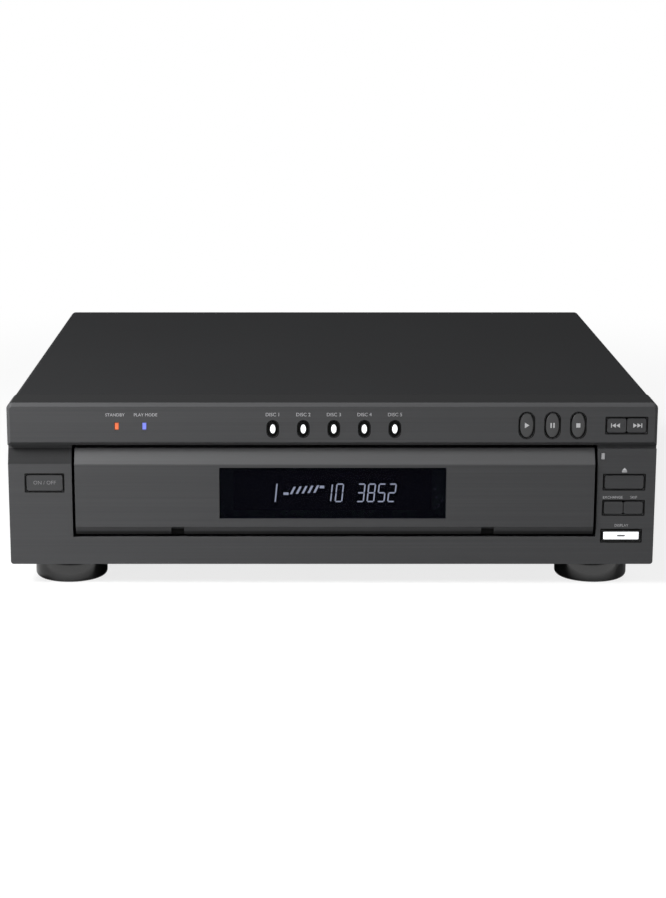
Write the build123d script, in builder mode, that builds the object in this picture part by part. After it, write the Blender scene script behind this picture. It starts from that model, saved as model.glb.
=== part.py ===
from build123d import *
from math import acos, cos, pi, radians, sin, tan
import os

os.makedirs("parts", exist_ok=True)

# A five-disc changer for a stack of hi-fi components, in millimetres.
# X runs to the right, Y to the back and Z up. The origin is the middle of the
# bounding box, at the surface that the feet stand on.

# Overall size; the body is as deep as the drawer front, the carousel and the pivot behind it need
disc_well_diameter = 121.5
disc_count = 5
well_web = 0.76
well_rim = 3.25
overall_width = 430.0
body_height = 110.0
foot_height = 15.0
jack_reach = 8.0
drawer_setback = 0.4
drawer_front_depth = 16.0
carousel_front_space = 4.1
carousel_rear_space = 38.5

disc_well_circle = (disc_well_diameter + well_web) / (2 * sin(pi / disc_count))
carousel_radius = disc_well_circle + disc_well_diameter / 2 + well_rim
half_width = overall_width / 2
carousel_front = drawer_setback + drawer_front_depth + carousel_front_space
body_depth = carousel_front + 2 * carousel_radius + carousel_rear_space
front_y = -(body_depth + jack_reach) / 2
back_y = front_y + body_depth
base_z = foot_height
top_z = base_z + body_height
carousel_y = front_y + carousel_front + carousel_radius

# Clearances
loose_gap = 0.3
slide_gap = 0.5
gear_gap = 0.12

# Sheet metal
cover_gauge = 1.0
chassis_gauge = 1.0
cover_bend_radius = 4.0
chassis_flange = 24.0
chassis_front_flange = 14.0
floor_slot_count = 8
floor_slot_pitch = 9.0
floor_slot_width = 3.0
floor_slot_length = 44.0
floor_slot_from_carousel = 33.0
cover_inset = 0.8
side_slot_count = 8
side_slot_pitch = 9.0
side_slot_width = 3.0
side_slot_height = 34.0
side_slot_from_back = 103.5
side_slot_drop = 51.0

# Front panel
fascia_depth = 32.0
visor_height = 28.4
visor_wall = 3.0
visor_edge_bevel = 2.2
low_corner_radius = 2.0
fascia_corner_radius = 4.0
column_setback = 1.6
column_wall = 3.5
shell_wall = 3.0
partition_wall = 1.6
groove_height = 2.6
groove_depth = 1.8
cove_height = 10.1
cove_depth = 4.0
post_side = 3.2
left_post_inset = 69.0
right_post_insets = (119.0, 39.0)
board_post_inset = 4.5
right_post_rise = 0.257
right_post_drop = 0.196
post_from_disc_keys = 20.76

seam_y = front_y + fascia_depth
column_y = front_y + column_setback
visor_bottom = top_z - visor_height
visor_back_y = front_y + visor_wall
column_back_y = column_y + column_wall

# Drawer front
tray_side_gap = 3.5
drawer_side_lap = 1.15
drawer_height = 58.4
drawer_x = 1.75
drawer_gap = 2.0
drawer_head_gap = 2.7
drawer_wall = 3.0
drawer_bevel_height = 10.0
drawer_bevel_depth = 5.0
drawer_chin_height = 5.5
drawer_chin_depth = 2.2
drawer_notch_spacing = 207.0
drawer_notch_width = 8.6
drawer_notch_depth = 3.0

tray_half_width = carousel_radius + tray_side_gap
drawer_width = 2 * (tray_half_width + drawer_side_lap)
drawer_top = visor_bottom - drawer_head_gap
drawer_bottom = drawer_top - drawer_height
drawer_face_y = front_y + drawer_setback
drawer_back_y = drawer_face_y + drawer_front_depth
passage_left = drawer_x - drawer_width / 2 - drawer_gap
passage_right = drawer_x + drawer_width / 2 + drawer_gap
passage_bottom = drawer_bottom - drawer_gap

# Display
window_width = 150.8
window_height = 34.8
window_x = 0.5
window_drop = 12.5
window_thickness = 2.4
window_recess = 0.4
window_flange = 3.0
window_flange_thickness = 1.0
display_board_width = 176.0
display_board_height = 42.0
board_thickness = 1.6
display_tube_width = 132.0
display_tube_height = 26.0
display_tube_depth = 5.6
display_post_spacing = 168.0
display_post_rise = 36.0

window_z = drawer_top - window_drop - window_height / 2
drawer_inner_y = drawer_face_y + drawer_wall
display_tube_front_y = drawer_inner_y + window_flange_thickness + 1.0
display_board_y = display_tube_front_y + display_tube_depth

# Buttons: a cap in its opening, a flange behind the wall, a stem to the switch
key_gap = 0.5
key_corner = 0.9
key_flange_lip = 1.6
key_flange_thickness = 1.0
key_stem_side = 3.0
key_stem_length = 4.4
key_travel = 0.8
key_recess = 0.3
key_switch_gap = 0.9
switch_side = 6.0
switch_depth = 4.2

power_key_share = 0.57
power_key_place = 0.568
power_key_height = 10.6
power_key_rise = 0.684
right_key_share = 0.673
right_key_place = 0.539
open_key_height = 9.0
open_key_rise = 0.691
change_pair_height = 8.4
change_pair_rise = 0.4755
lit_key_share = 0.655
lit_key_place = 0.562
lit_key_height = 7.1
lit_key_rise = 0.24
skip_pair_width = 25.8
skip_pair_height = 9.5
skip_pair_inset = 20.7
skip_pair_drop = 14.9
pair_split = 0.6
oval_key_width = 9.0
oval_key_height = 16.6
oval_key_inset = 69.6
oval_key_pitch = 17.0
oval_key_drop = 14.8
disc_key_width = 6.4
disc_key_height = 10.2
disc_key_middle_x = 1.06
disc_key_pitch = 20.15
disc_key_drop = 17.2
oval_turns = 6

# Indicator lights
lamp_width = 2.4
lamp_height = 4.4
lamp_drop = 15.4
orange_lamp_inset = 72.7
blue_lamp_inset = 90.9
clear_lamp_gap = 3.2
clear_lamp_drop = 7.6

# Circuit boards behind the keys
visor_board_left_inset = 63.0
visor_board_right_inset = 6.0
visor_board_height = 19.0
side_board_margin = 2.5
left_board_height = 24.0
left_board_drop = 6.0
right_board_share = 0.833
right_board_rise = 0.5515

# Places on the front, from the columns' sizes and the outer edges
left_column = passage_left + half_width
right_column = half_width - passage_right
power_key_width = power_key_share * left_column
power_key_x = power_key_place * left_column - half_width
right_key_width = right_key_share * right_column
right_key_x = half_width - right_key_place * right_column
lit_key_width = lit_key_share * right_column
lit_key_x = half_width - lit_key_place * right_column
skip_pair_x = half_width - skip_pair_inset
oval_key_middle_x = half_width - oval_key_inset
orange_lamp_x = orange_lamp_inset - half_width
blue_lamp_x = blue_lamp_inset - half_width
clear_lamp_x = passage_right + clear_lamp_gap
visor_board_left = visor_board_left_inset - half_width
visor_board_right = half_width - visor_board_right_inset
first_disc_key_x = disc_key_middle_x - disc_key_pitch * (disc_count - 1) / 2
visor_posts = [left_post_inset - half_width, first_disc_key_x - post_from_disc_keys]
visor_posts += [half_width - inset for inset in right_post_insets]
column_height = visor_bottom - base_z
power_key_z = base_z + power_key_rise * column_height
open_key_z = base_z + open_key_rise * column_height
change_pair_z = base_z + change_pair_rise * column_height
lit_key_z = base_z + lit_key_rise * column_height
right_board_z = base_z + right_board_rise * column_height
right_board_height = right_board_share * column_height
skip_pair_z = top_z - skip_pair_drop
oval_key_z = top_z - oval_key_drop
disc_key_z = top_z - disc_key_drop
lamp_z = top_z - lamp_drop
clear_lamp_z = visor_bottom - clear_lamp_drop
left_board_width = left_column - shell_wall - partition_wall - 2 * side_board_margin
right_board_width = right_column - shell_wall - partition_wall - 2 * side_board_margin

# Carousel and its wells
disc_well_depth = 3.5
carousel_thickness = 7.0
carousel_headroom = 8.1
well_slot_width = 42.0
well_slot_reach = 27.0
well_slot_corner = 6.0
carousel_bore = 6.3
carousel_post_radius = 6.0
carousel_boss_radius = 30.0
carousel_boss_height = 3.0
gear_thickness = 5.5
gear_module = 3.0
hub_gear_teeth = 30
pinion_teeth = 10
pressure_angle = 25.0

well_slot_start = disc_well_circle - well_slot_reach
carousel_top = visor_bottom - carousel_headroom
carousel_bottom = carousel_top - carousel_thickness
hub_gear_bottom = carousel_bottom - gear_thickness
hub_gear_radius = gear_module * hub_gear_teeth / 2
pinion_radius = gear_module * pinion_teeth / 2
carousel_pinion_x = drawer_x + hub_gear_radius + pinion_radius + gear_gap

# Tray
tray_floor = 2.5
tray_wall = 2.5
tray_rim_drop = 1.5
tray_ring_gap = 1.3
tray_notch_half_width = 56.0
tray_notch_reach = 49.0
tongue_width = 2.5
tongue_height = 4.0
tongue_front_inset = 6.0
tongue_rear_inset = 10.3
rack_width = 5.0
rack_height = 6.0
rack_offset = -100.0
rack_teeth = 30
drawer_travel = 240.0

tray_floor_top = hub_gear_bottom - 1.5
tray_bottom = tray_floor_top - tray_floor
tray_top = carousel_top - tray_rim_drop
tray_rear_y = carousel_y + carousel_radius + tray_ring_gap
tongue_bottom = tray_floor_top + 0.5
tray_notch_start = carousel_y + disc_well_circle - tray_notch_reach
rack_pitch_x = drawer_x + rack_offset
rack_bottom = tray_bottom - rack_height

# Mechanism frame
frame_wall = 3.0
frame_clearance = 3.5
frame_front_inset = 35.5
frame_rear_inset = 17.5
frame_rise = 25.0
frame_plate = 3.0
frame_plate_reach = 28.0
frame_leg_depth = 10.0
frame_ledge = 3.0
middle_leg_from_carousel = 29.0
rear_wall_drop = 22.5

frame_bottom = base_z + frame_rise
rear_wall_top = carousel_top - rear_wall_drop
frame_front_y = front_y + frame_front_inset
frame_rear_y = back_y - frame_rear_inset
tongue_front_y = frame_front_y + tongue_front_inset
tongue_rear_y = tray_rear_y - tongue_rear_inset
frame_inner = tray_half_width + frame_clearance
frame_outer = frame_inner + frame_wall
frame_top = tongue_bottom + tongue_height + 3.2
frame_plate_top = frame_bottom + frame_plate

# Loading drive
drawer_pinion_inset = 56.0
gearbox_width = 46.0
gearbox_depth = 30.0
motor_radius = 12.0
motor_flat_width = 18.0
motor_height = 22.0

drawer_pinion_x = rack_pitch_x + pinion_radius + gear_gap
drawer_pinion_y = frame_front_y + drawer_pinion_inset
frame_plate_rear_y = drawer_pinion_y + frame_plate_reach

# Pickup deck, drawn level and lowered about its pivot
deck_pivot_inset = 8.0
deck_tilt = 16.0
deck_half_width = 46.0
deck_thickness = 3.0
deck_length = 118.0
deck_tail = 6.0
disc_seat_lift = 2.5
turntable_radius = 13.0
turntable_thickness = 2.5
turntable_rise = 13.0
turntable_boss_radius = 7.2
turntable_boss_height = 3.0
pivot_pin_radius = 2.5
pivot_bracket_thickness = 4.0
pickup_half_width = 19.0
pickup_length = 24.0
pickup_height = 10.5
pickup_start = 24.0
pickup_travel = 36.0
guide_shaft_radius = 1.5
guide_shaft_spread = 33.0
guide_shaft_rise = 4.5
spindle_motor_radius = 10.0
deck_window_half_width = 20.0
sled_motor_radius = 6.0
sled_motor_length = 18.0
lens_radius = 4.5
lens_height = 1.5

disc_floor_z = carousel_top - disc_well_depth
disc_seat_z = disc_floor_z + disc_seat_lift
deck_pivot_z = disc_seat_z - turntable_rise - deck_thickness / 2
spindle_y = carousel_y + disc_well_circle
deck_pivot_y = frame_rear_y - deck_pivot_inset
spindle_local_y = spindle_y - deck_pivot_y

# Clamp bridge
bridge_width = 32.0
bridge_gauge = 1.5
bridge_flange = 6.0
bridge_lift = 6.1
clamp_neck_radius = 9.5
clamp_flange_radius = 12.5
clamp_flange_thickness = 2.0
clamp_sides = 12
clamp_lift = 2.7

bridge_bottom = carousel_top + bridge_lift
clamp_bottom = carousel_top + clamp_lift

# Feet
foot_radius = 24.3
foot_spacing = 355.0
foot_inset = 32.0
foot_chamfer = 2.5

# Boards on the chassis floor
board_height = 8.0
main_board_width = 110.0
main_board_inset = 43.0
main_board_from_back = 135.5
power_board_width = 142.0
power_board_inset = 7.0
power_board_from_back = 159.5
power_board_rear_space = 33.5
board_rear_gap = 1.5
standoff_side = 6.0
standoff_inset_x = 6.0
standoff_inset_y = 22.0
chip_side = 28.0
chip_pitch = 40.0
chip_from_front = 30.0
small_part_length = 18.0
small_part_depth = 8.0
small_part_pitch = 26.0
small_part_count = 3
small_part_from_front = 66.0
main_part_height = 2.6
transformer_space = 4.8
transformer_length = 46.0
transformer_height = 40.0
transformer_core = 4.0
transformer_from_front = 62.0
capacitor_share = 0.7
capacitor_height = 26.0
capacitor_from_front = 16.0
heat_sink_length = 44.0
heat_sink_height = 13.0
heat_sink_fins = 6
heat_sink_fin = 2.0
heat_sink_base = 3.0
heat_sink_reach = 12.0
heat_sink_from_left = 58.0
heat_sink_from_front = 74.0

# Rear sockets
jack_block_inset = 8.0
jack_block_width = 86.0
jack_block_depth = 13.0
jack_block_top = 62.0
jack_block_lip = 3.0
jack_count = 2
jack_pitch = 17.0
jack_sleeve_radius = 4.2
jack_group_inset = 24.0
jack_group_z = 42.0
digital_socket_inset = 16.0
digital_hole_side = 8.0
inlet_inset = 21.0
inlet_z = 44.0
inlet_width = 28.0
inlet_height = 20.0
inlet_depth = 17.0
inlet_wall = 2.0
inlet_corner = 4.0
inlet_socket_depth = 14.0
inlet_pin_spacing = 14.0
inlet_pin_thickness = 2.0
inlet_pin_width = 5.0
inlet_pin_length = 11.0
inlet_earth_rise = 4.0
rear_slot_count = 8
rear_slot_pitch = 8.0
rear_slot_width = 3.0
rear_slot_height = 30.0
rear_slot_x = -60.0
rear_slot_drop = 39.0


def facing(y):
    """The plane square to Y at y, with X to the right and Z up."""
    return Plane.XZ.offset(-y)


def level(z):
    """The horizontal plane at height z."""
    return Plane.XY.offset(z)


def save(piece, name):
    """Label a finished piece and write it."""
    piece.part.label = name
    export_step(piece.part, f"parts/{name}.step")


def involute(angle):
    """The involute of an angle in radians."""
    return tan(angle) - angle


def gear_outline(teeth, turn):
    """The corners of a spur gear about the origin, with its first tooth turned from X by turn."""
    pitch_radius = gear_module * teeth / 2
    pressure = radians(pressure_angle)
    base_radius = pitch_radius * cos(pressure)
    root_radius = pitch_radius - 1.1 * gear_module
    tip_radius = pitch_radius + 0.8 * gear_module
    pitch_half_angle = pi / (2 * teeth) - gear_gap / pitch_radius
    flank = []
    for radius in (root_radius, tip_radius):
        away = acos(min(1, base_radius / max(radius, base_radius)))
        half_angle = pitch_half_angle + involute(pressure) - involute(away)
        flank.append((radius, half_angle))
    corners = []
    for tooth in range(teeth):
        middle = radians(turn) + 2 * pi * tooth / teeth
        rising = [(radius, middle - half) for radius, half in flank]
        falling = [(radius, middle + half) for radius, half in reversed(flank)]
        for radius, angle in rising + falling:
            corners.append((radius * cos(angle), radius * sin(angle)))
    return corners


def oval_outline(x, z, width, height):
    """The corners of an upright oval with round ends, about x and z."""
    radius = width / 2
    corners = []
    for end, start in ((1, 0), (-1, pi)):
        for step in range(oval_turns + 1):
            angle = start + pi * step / oval_turns
            corners.append((x + radius * cos(angle), z + end * (height / 2 - radius) + radius * sin(angle)))
    return corners


# Rectangular keys: name, centre and size, through the columns and through the upper band
change_half = (right_key_width - pair_split) / 2
skip_half = (skip_pair_width - pair_split) / 2
change_step = (change_half + pair_split) / 2
skip_step = (skip_half + pair_split) / 2
column_keys = [
    ("power_button", power_key_x, power_key_z, power_key_width, power_key_height),
    ("open_close_button", right_key_x, open_key_z, right_key_width, open_key_height),
    ("exchange_button", right_key_x - change_step, change_pair_z, change_half, change_pair_height),
    ("disc_skip_button", right_key_x + change_step, change_pair_z, change_half, change_pair_height),
    ("lit_button", lit_key_x, lit_key_z, lit_key_width, lit_key_height),
]
visor_keys = [
    ("previous_button", skip_pair_x - skip_step, skip_pair_z, skip_half, skip_pair_height),
    ("next_button", skip_pair_x + skip_step, skip_pair_z, skip_half, skip_pair_height),
]
oval_keys = [
    ("play_button", oval_key_middle_x - oval_key_pitch, oval_key_z, oval_key_width, oval_key_height),
    ("pause_button", oval_key_middle_x, oval_key_z, oval_key_width, oval_key_height),
    ("stop_button", oval_key_middle_x + oval_key_pitch, oval_key_z, oval_key_width, oval_key_height),
]
for number in range(1, disc_count + 1):
    disc_key_x = disc_key_middle_x + (number - (disc_count + 1) / 2) * disc_key_pitch
    oval_keys.append((f"disc_button_{number}", disc_key_x, disc_key_z, disc_key_width, disc_key_height))

# The openings: a pair of keys shares one
key_openings = [
    (power_key_x, power_key_z, power_key_width, power_key_height),
    (right_key_x, open_key_z, right_key_width, open_key_height),
    (right_key_x, change_pair_z, right_key_width, change_pair_height),
    (lit_key_x, lit_key_z, lit_key_width, lit_key_height),
    (skip_pair_x, skip_pair_z, skip_pair_width, skip_pair_height),
]

# Where each stem ends, its switch begins and its board lies
visor_stem_y = visor_back_y + loose_gap + key_flange_thickness + key_stem_length
visor_board_y = visor_stem_y + key_switch_gap + switch_depth
column_stem_y = column_back_y + loose_gap + key_flange_thickness + key_stem_length
column_board_y = column_stem_y + key_switch_gap + switch_depth
visor_board_z = (visor_bottom + partition_wall + top_z - shell_wall) / 2
left_board_z = power_key_z - left_board_drop
left_board_x = (-half_width + shell_wall + passage_left - partition_wall) / 2
right_board_x = (half_width - shell_wall + passage_right + partition_wall) / 2

# Front panel moulding
with BuildPart() as front_panel:
    # upper band, standing proud of the columns, with every front edge bevelled
    with BuildSketch(facing(front_y)):
        with Locations((0, (visor_bottom + top_z) / 2)):
            Rectangle(overall_width, visor_height)
    extrude(amount=-fascia_depth)
    long_edges = front_panel.edges().filter_by(Axis.Y).sort_by(Axis.Z)[-2:]
    fillet(long_edges, fascia_corner_radius)
    face_edges = front_panel.faces().sort_by(Axis.Y)[0].edges()
    chamfer(face_edges, visor_edge_bevel)
    # columns and lower band
    with BuildSketch(facing(column_y)):
        with Locations((0, (base_z + visor_bottom) / 2)):
            Rectangle(overall_width, visor_bottom - base_z)
    extrude(amount=-(seam_y - column_y))
    low_edges = front_panel.edges().filter_by(Axis.Y).group_by(Axis.Z)[0]
    fillet(low_edges, low_corner_radius)
    # the way that the drawer comes through
    with BuildSketch(facing(front_y - 1)):
        with Locations((drawer_x, (passage_bottom + visor_bottom) / 2)):
            Rectangle(passage_right - passage_left, visor_bottom - passage_bottom)
    extrude(amount=-(fascia_depth + 2), mode=Mode.SUBTRACT)
    # groove under the upper band
    with BuildSketch(facing(column_y)):
        with Locations((0, visor_bottom - groove_height / 2)):
            Rectangle(overall_width, groove_height)
    extrude(amount=-groove_depth, mode=Mode.SUBTRACT)
    # sloping cove at the head of the left column
    with BuildSketch(Plane.YZ.offset(-half_width)):
        with BuildLine():
            Polyline(
                (column_y - 1, visor_bottom - groove_height - cove_height),
                (column_y, visor_bottom - groove_height - cove_height),
                (column_y + cove_depth, visor_bottom - groove_height),
                (column_y + cove_depth, visor_bottom),
                (column_y - 1, visor_bottom),
                close=True,
            )
        make_face()
    extrude(amount=half_width + passage_left, mode=Mode.SUBTRACT)
    # hollow back of the upper band
    with BuildSketch(facing(visor_back_y)):
        with Locations((0, visor_board_z)):
            Rectangle(overall_width - 2 * shell_wall, visor_height - shell_wall - partition_wall)
    extrude(amount=-fascia_depth, mode=Mode.SUBTRACT)
    # hollow backs of the left column, below its cove, of the right column and of the lower band
    hollow_bottom = base_z + shell_wall
    band_top = passage_bottom - partition_wall
    left_width = passage_left - partition_wall + half_width - shell_wall
    left_top = visor_bottom - groove_height - cove_height - 2
    right_width = half_width - shell_wall - passage_right - partition_wall
    with BuildSketch(facing(column_back_y)):
        with Locations((left_board_x, (hollow_bottom + left_top) / 2)):
            Rectangle(left_width, left_top - hollow_bottom)
        with Locations((right_board_x, (hollow_bottom + visor_bottom) / 2)):
            Rectangle(right_width, visor_bottom - hollow_bottom)
        with Locations((drawer_x, (hollow_bottom + band_top) / 2)):
            Rectangle(passage_right - passage_left, band_top - hollow_bottom)
    extrude(amount=-fascia_depth, mode=Mode.SUBTRACT)
    with BuildSketch(facing(column_y + cove_depth + column_wall)):
        with Locations((left_board_x, (left_top + visor_bottom) / 2)):
            Rectangle(left_width, visor_bottom - left_top)
    extrude(amount=-fascia_depth, mode=Mode.SUBTRACT)
    # openings for the rectangular keys; a pair shares one opening
    with BuildSketch(facing(front_y)):
        for x, z, width, height in key_openings:
            with Locations((x, z)):
                Rectangle(width + 2 * key_gap, height + 2 * key_gap)
        chamfer(vertices(), key_corner)
        # oval openings for the disc, play, pause and stop keys
        for name, x, z, width, height in oval_keys:
            Polygon(*oval_outline(x, z, width + 2 * key_gap, height + 2 * key_gap), align=None)
        # holes for the indicator lights
        with Locations((orange_lamp_x, lamp_z), (blue_lamp_x, lamp_z), (clear_lamp_x, clear_lamp_z)):
            Rectangle(lamp_width + 2 * loose_gap, lamp_height + 2 * loose_gap)
    extrude(amount=-(column_back_y + 1 - front_y), mode=Mode.SUBTRACT)
    # posts that the boards stand on
    with BuildSketch(facing(visor_back_y)):
        with Locations(*[(x, visor_board_z) for x in visor_posts]):
            Rectangle(post_side, post_side)
    extrude(amount=-(visor_board_y - visor_back_y))
    with BuildSketch(facing(column_back_y)):
        with Locations((left_board_x, left_board_z - left_board_height / 2 + post_side)):
            with GridLocations(left_board_width - 2 * board_post_inset, 0, 2, 1):
                Rectangle(post_side, post_side)
        right_post_x = right_board_width / 2 - board_post_inset
        with Locations(
            (right_board_x - right_post_x, right_board_z + right_post_rise * column_height),
            (right_board_x + right_post_x, right_board_z - right_post_drop * column_height),
        ):
            Rectangle(post_side, post_side)
    extrude(amount=-(column_board_y - column_back_y))
save(front_panel, "front_panel")

# Rectangular keys
key_walls = [
    (column_keys, column_y, column_back_y),
    (visor_keys, front_y, visor_back_y),
]
for keys, wall_front, wall_back in key_walls:
    for name, x, z, width, height in keys:
        flange_y = wall_back + loose_gap
        with BuildPart() as rectangular_key:
            with BuildSketch(facing(wall_front + key_recess)):
                with Locations((x, z)):
                    Rectangle(width, height)
                chamfer(vertices(), key_corner)
            extrude(amount=-(flange_y - wall_front - key_recess))
            with BuildSketch(facing(flange_y)):
                with Locations((x, z)):
                    Rectangle(width, height + 2 * key_flange_lip)
            extrude(amount=-key_flange_thickness)
            with BuildSketch(facing(flange_y + key_flange_thickness)):
                with Locations((x, z)):
                    Rectangle(key_stem_side, key_stem_side)
            extrude(amount=-key_stem_length)
        save(rectangular_key, name)

# Oval keys
for name, x, z, width, height in oval_keys:
    flange_y = visor_back_y + loose_gap
    with BuildPart() as oval_key:
        with BuildSketch(facing(front_y + key_recess)):
            Polygon(*oval_outline(x, z, width, height), align=None)
        extrude(amount=-(flange_y - front_y - key_recess))
        with BuildSketch(facing(flange_y)):
            with Locations((x, z)):
                Rectangle(width + 2 * key_flange_lip, height + key_flange_lip)
        extrude(amount=-key_flange_thickness)
        with BuildSketch(facing(flange_y + key_flange_thickness)):
            with Locations((x, z)):
                Rectangle(key_stem_side, key_stem_side)
        extrude(amount=-key_stem_length)
    save(oval_key, name)

# Indicator lights: light pipes from the board to the front
lamps = [
    ("orange_lamp", orange_lamp_x, lamp_z, front_y, visor_board_y),
    ("blue_lamp", blue_lamp_x, lamp_z, front_y, visor_board_y),
    ("clear_lamp", clear_lamp_x, clear_lamp_z, column_y, column_board_y),
]
for name, x, z, face, board in lamps:
    with BuildPart() as lamp:
        with BuildSketch(facing(face + key_recess)):
            with Locations((x, z)):
                Rectangle(lamp_width, lamp_height)
        extrude(amount=-(board - face - key_recess))
    save(lamp, name)

# Tact switches behind every key
with BuildPart() as tact_switches:
    for keys, stem_end in ((column_keys, column_stem_y), (visor_keys + oval_keys, visor_stem_y)):
        key_places = [(x, z) for name, x, z, width, height in keys]
        with BuildSketch(facing(stem_end + key_switch_gap)):
            with Locations(*key_places):
                Rectangle(switch_side, switch_side)
        extrude(amount=-switch_depth)
save(tact_switches, "tact_switches")

# Boards behind the keys
with BuildPart() as key_boards:
    with BuildSketch(facing(visor_board_y)):
        with Locations(((visor_board_left + visor_board_right) / 2, visor_board_z)):
            Rectangle(visor_board_right - visor_board_left, visor_board_height)
    extrude(amount=-board_thickness)
    with BuildSketch(facing(column_board_y)):
        with Locations((left_board_x, left_board_z)):
            Rectangle(left_board_width, left_board_height)
        with Locations((right_board_x, right_board_z)):
            Rectangle(right_board_width, right_board_height)
    extrude(amount=-board_thickness)
save(key_boards, "key_boards")

# Drawer front
drawer_profile = [
    (drawer_face_y, drawer_bottom + drawer_chin_height),
    (drawer_face_y, drawer_top - drawer_bevel_height),
    (drawer_face_y + drawer_bevel_depth, drawer_top),
    (drawer_back_y, drawer_top),
    (drawer_back_y, drawer_bottom),
    (drawer_face_y + drawer_chin_depth, drawer_bottom),
]
with BuildPart() as drawer_front:
    with BuildSketch(Plane.YZ.offset(drawer_x)):
        with BuildLine():
            Polyline(*drawer_profile, close=True)
        make_face()
    extrude(amount=drawer_width / 2, both=True)
    # hollow back
    with BuildSketch(Plane.YZ.offset(drawer_x)):
        with BuildLine():
            Polyline(*drawer_profile, close=True)
        make_face()
        offset(amount=-drawer_wall, kind=Kind.INTERSECTION)
        with Locations((drawer_back_y - drawer_wall, (drawer_top + drawer_bottom) / 2)):
            Rectangle(3 * drawer_wall, drawer_height - 2 * drawer_wall)
    extrude(amount=drawer_width / 2 - drawer_wall, both=True, mode=Mode.SUBTRACT)
    # window opening
    with BuildSketch(facing(drawer_face_y)):
        with Locations((window_x, window_z)):
            Rectangle(window_width, window_height)
    extrude(amount=-drawer_wall, mode=Mode.SUBTRACT)
    # two notches in the lower edge
    with BuildSketch(facing(drawer_face_y)):
        with Locations((window_x, drawer_bottom + drawer_chin_height / 2)):
            with GridLocations(drawer_notch_spacing, 0, 2, 1):
                Rectangle(drawer_notch_width, drawer_chin_height)
    extrude(amount=-drawer_notch_depth, mode=Mode.SUBTRACT)
    # posts for the display board
    with BuildSketch(facing(drawer_inner_y)):
        with Locations((window_x, window_z)):
            with GridLocations(display_post_spacing, display_post_rise, 2, 2):
                Rectangle(post_side, post_side)
    extrude(amount=-(display_board_y - drawer_inner_y))
save(drawer_front, "drawer_front")

# Smoked window, with a flange behind the face
with BuildPart() as display_window:
    with BuildSketch(facing(drawer_face_y + window_recess)):
        with Locations((window_x, window_z)):
            Rectangle(window_width - loose_gap, window_height - loose_gap)
    extrude(amount=-(drawer_wall - window_recess))
    with BuildSketch(facing(drawer_inner_y)):
        with Locations((window_x, window_z)):
            Rectangle(window_width + window_flange, window_height + window_flange)
    extrude(amount=-window_flange_thickness)
save(display_window, "display_window")

# Fluorescent tube and its board
with BuildPart() as display_tube:
    with BuildSketch(facing(display_tube_front_y)):
        with Locations((window_x, window_z)):
            Rectangle(display_tube_width, display_tube_height)
    extrude(amount=-display_tube_depth)
    tube_edges = display_tube.faces().sort_by(Axis.Y)[0].edges()
    chamfer(tube_edges, 0.8)
save(display_tube, "display_tube")

with BuildPart() as display_board:
    with BuildSketch(facing(display_board_y)):
        with Locations((window_x, window_z)):
            Rectangle(display_board_width, display_board_height)
    extrude(amount=-board_thickness)
save(display_board, "display_board")

# Drawer tray: a moulded floor with a round bed, side tongues and the rack
tray_ring = carousel_radius + tray_ring_gap
with BuildPart() as drawer_tray:
    tray_middle_y = (drawer_back_y + tray_rear_y) / 2
    tray_length = tray_rear_y - drawer_back_y
    with BuildSketch(level(tray_bottom)):
        with Locations((drawer_x, tray_middle_y)):
            Rectangle(2 * tray_half_width, tray_length)
    extrude(amount=tray_top - tray_bottom)
    # round bed of the carousel
    with BuildSketch(level(tray_floor_top)):
        with Locations((drawer_x, carousel_y)):
            Circle(tray_ring)
    extrude(amount=tray_top - tray_floor_top, mode=Mode.SUBTRACT)
    # hollow corners, open below
    with BuildSketch(level(tray_bottom)):
        with Locations((drawer_x, tray_middle_y)):
            Rectangle(2 * (tray_half_width - tray_wall), tray_length - 2 * tray_wall)
        with Locations((drawer_x, carousel_y)):
            RegularPolygon(tray_ring + tray_wall, 8, major_radius=False, rotation=22.5, mode=Mode.SUBTRACT)
    extrude(amount=tray_top - tray_bottom - tray_wall, mode=Mode.SUBTRACT)
    # open rear, where the pickup deck comes up
    with BuildSketch(level(tray_bottom)):
        with Locations((drawer_x, (tray_notch_start + tray_rear_y + 4) / 2)):
            Rectangle(2 * tray_notch_half_width, tray_rear_y + 4 - tray_notch_start)
    extrude(amount=tray_top - tray_bottom, mode=Mode.SUBTRACT)
    # post that the carousel turns on
    with BuildSketch(level(tray_floor_top)):
        with Locations((drawer_x, carousel_y)):
            Circle(carousel_post_radius)
    extrude(amount=disc_floor_z - loose_gap - tray_floor_top)
    # tongues that run in the frame's rails
    with BuildSketch(level(tongue_bottom)):
        with Locations((drawer_x, (tongue_front_y + tongue_rear_y) / 2)):
            with GridLocations(2 * tray_half_width + tongue_width, 0, 2, 1):
                Rectangle(tongue_width, tongue_rear_y - tongue_front_y)
    extrude(amount=tongue_height)
    # rack, with straight-sided teeth
    rack_pitch = pi * gear_module
    slope = tan(radians(pressure_angle))
    root = 1.1 * gear_module
    tip = 0.8 * gear_module
    half_tooth = rack_pitch / 4 - gear_gap
    rack_corners = []
    for tooth in range(rack_teeth):
        middle = drawer_pinion_y + (tooth - 2) * rack_pitch
        rack_corners.append((rack_pitch_x - root, middle - half_tooth - root * slope))
        rack_corners.append((rack_pitch_x + tip, middle - half_tooth + tip * slope))
        rack_corners.append((rack_pitch_x + tip, middle + half_tooth - tip * slope))
        rack_corners.append((rack_pitch_x - root, middle + half_tooth + root * slope))
    # its bar runs on to the tray's rear wall
    rack_corners.append((rack_pitch_x - root, tray_rear_y))
    rack_corners.append((rack_pitch_x - root - rack_width, tray_rear_y))
    rack_corners.append((rack_pitch_x - root - rack_width, rack_corners[0][1]))
    with BuildSketch(level(rack_bottom)):
        with BuildLine():
            Polyline(*rack_corners, close=True)
        make_face()
    extrude(amount=rack_height)
save(drawer_tray, "drawer_tray")

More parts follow.
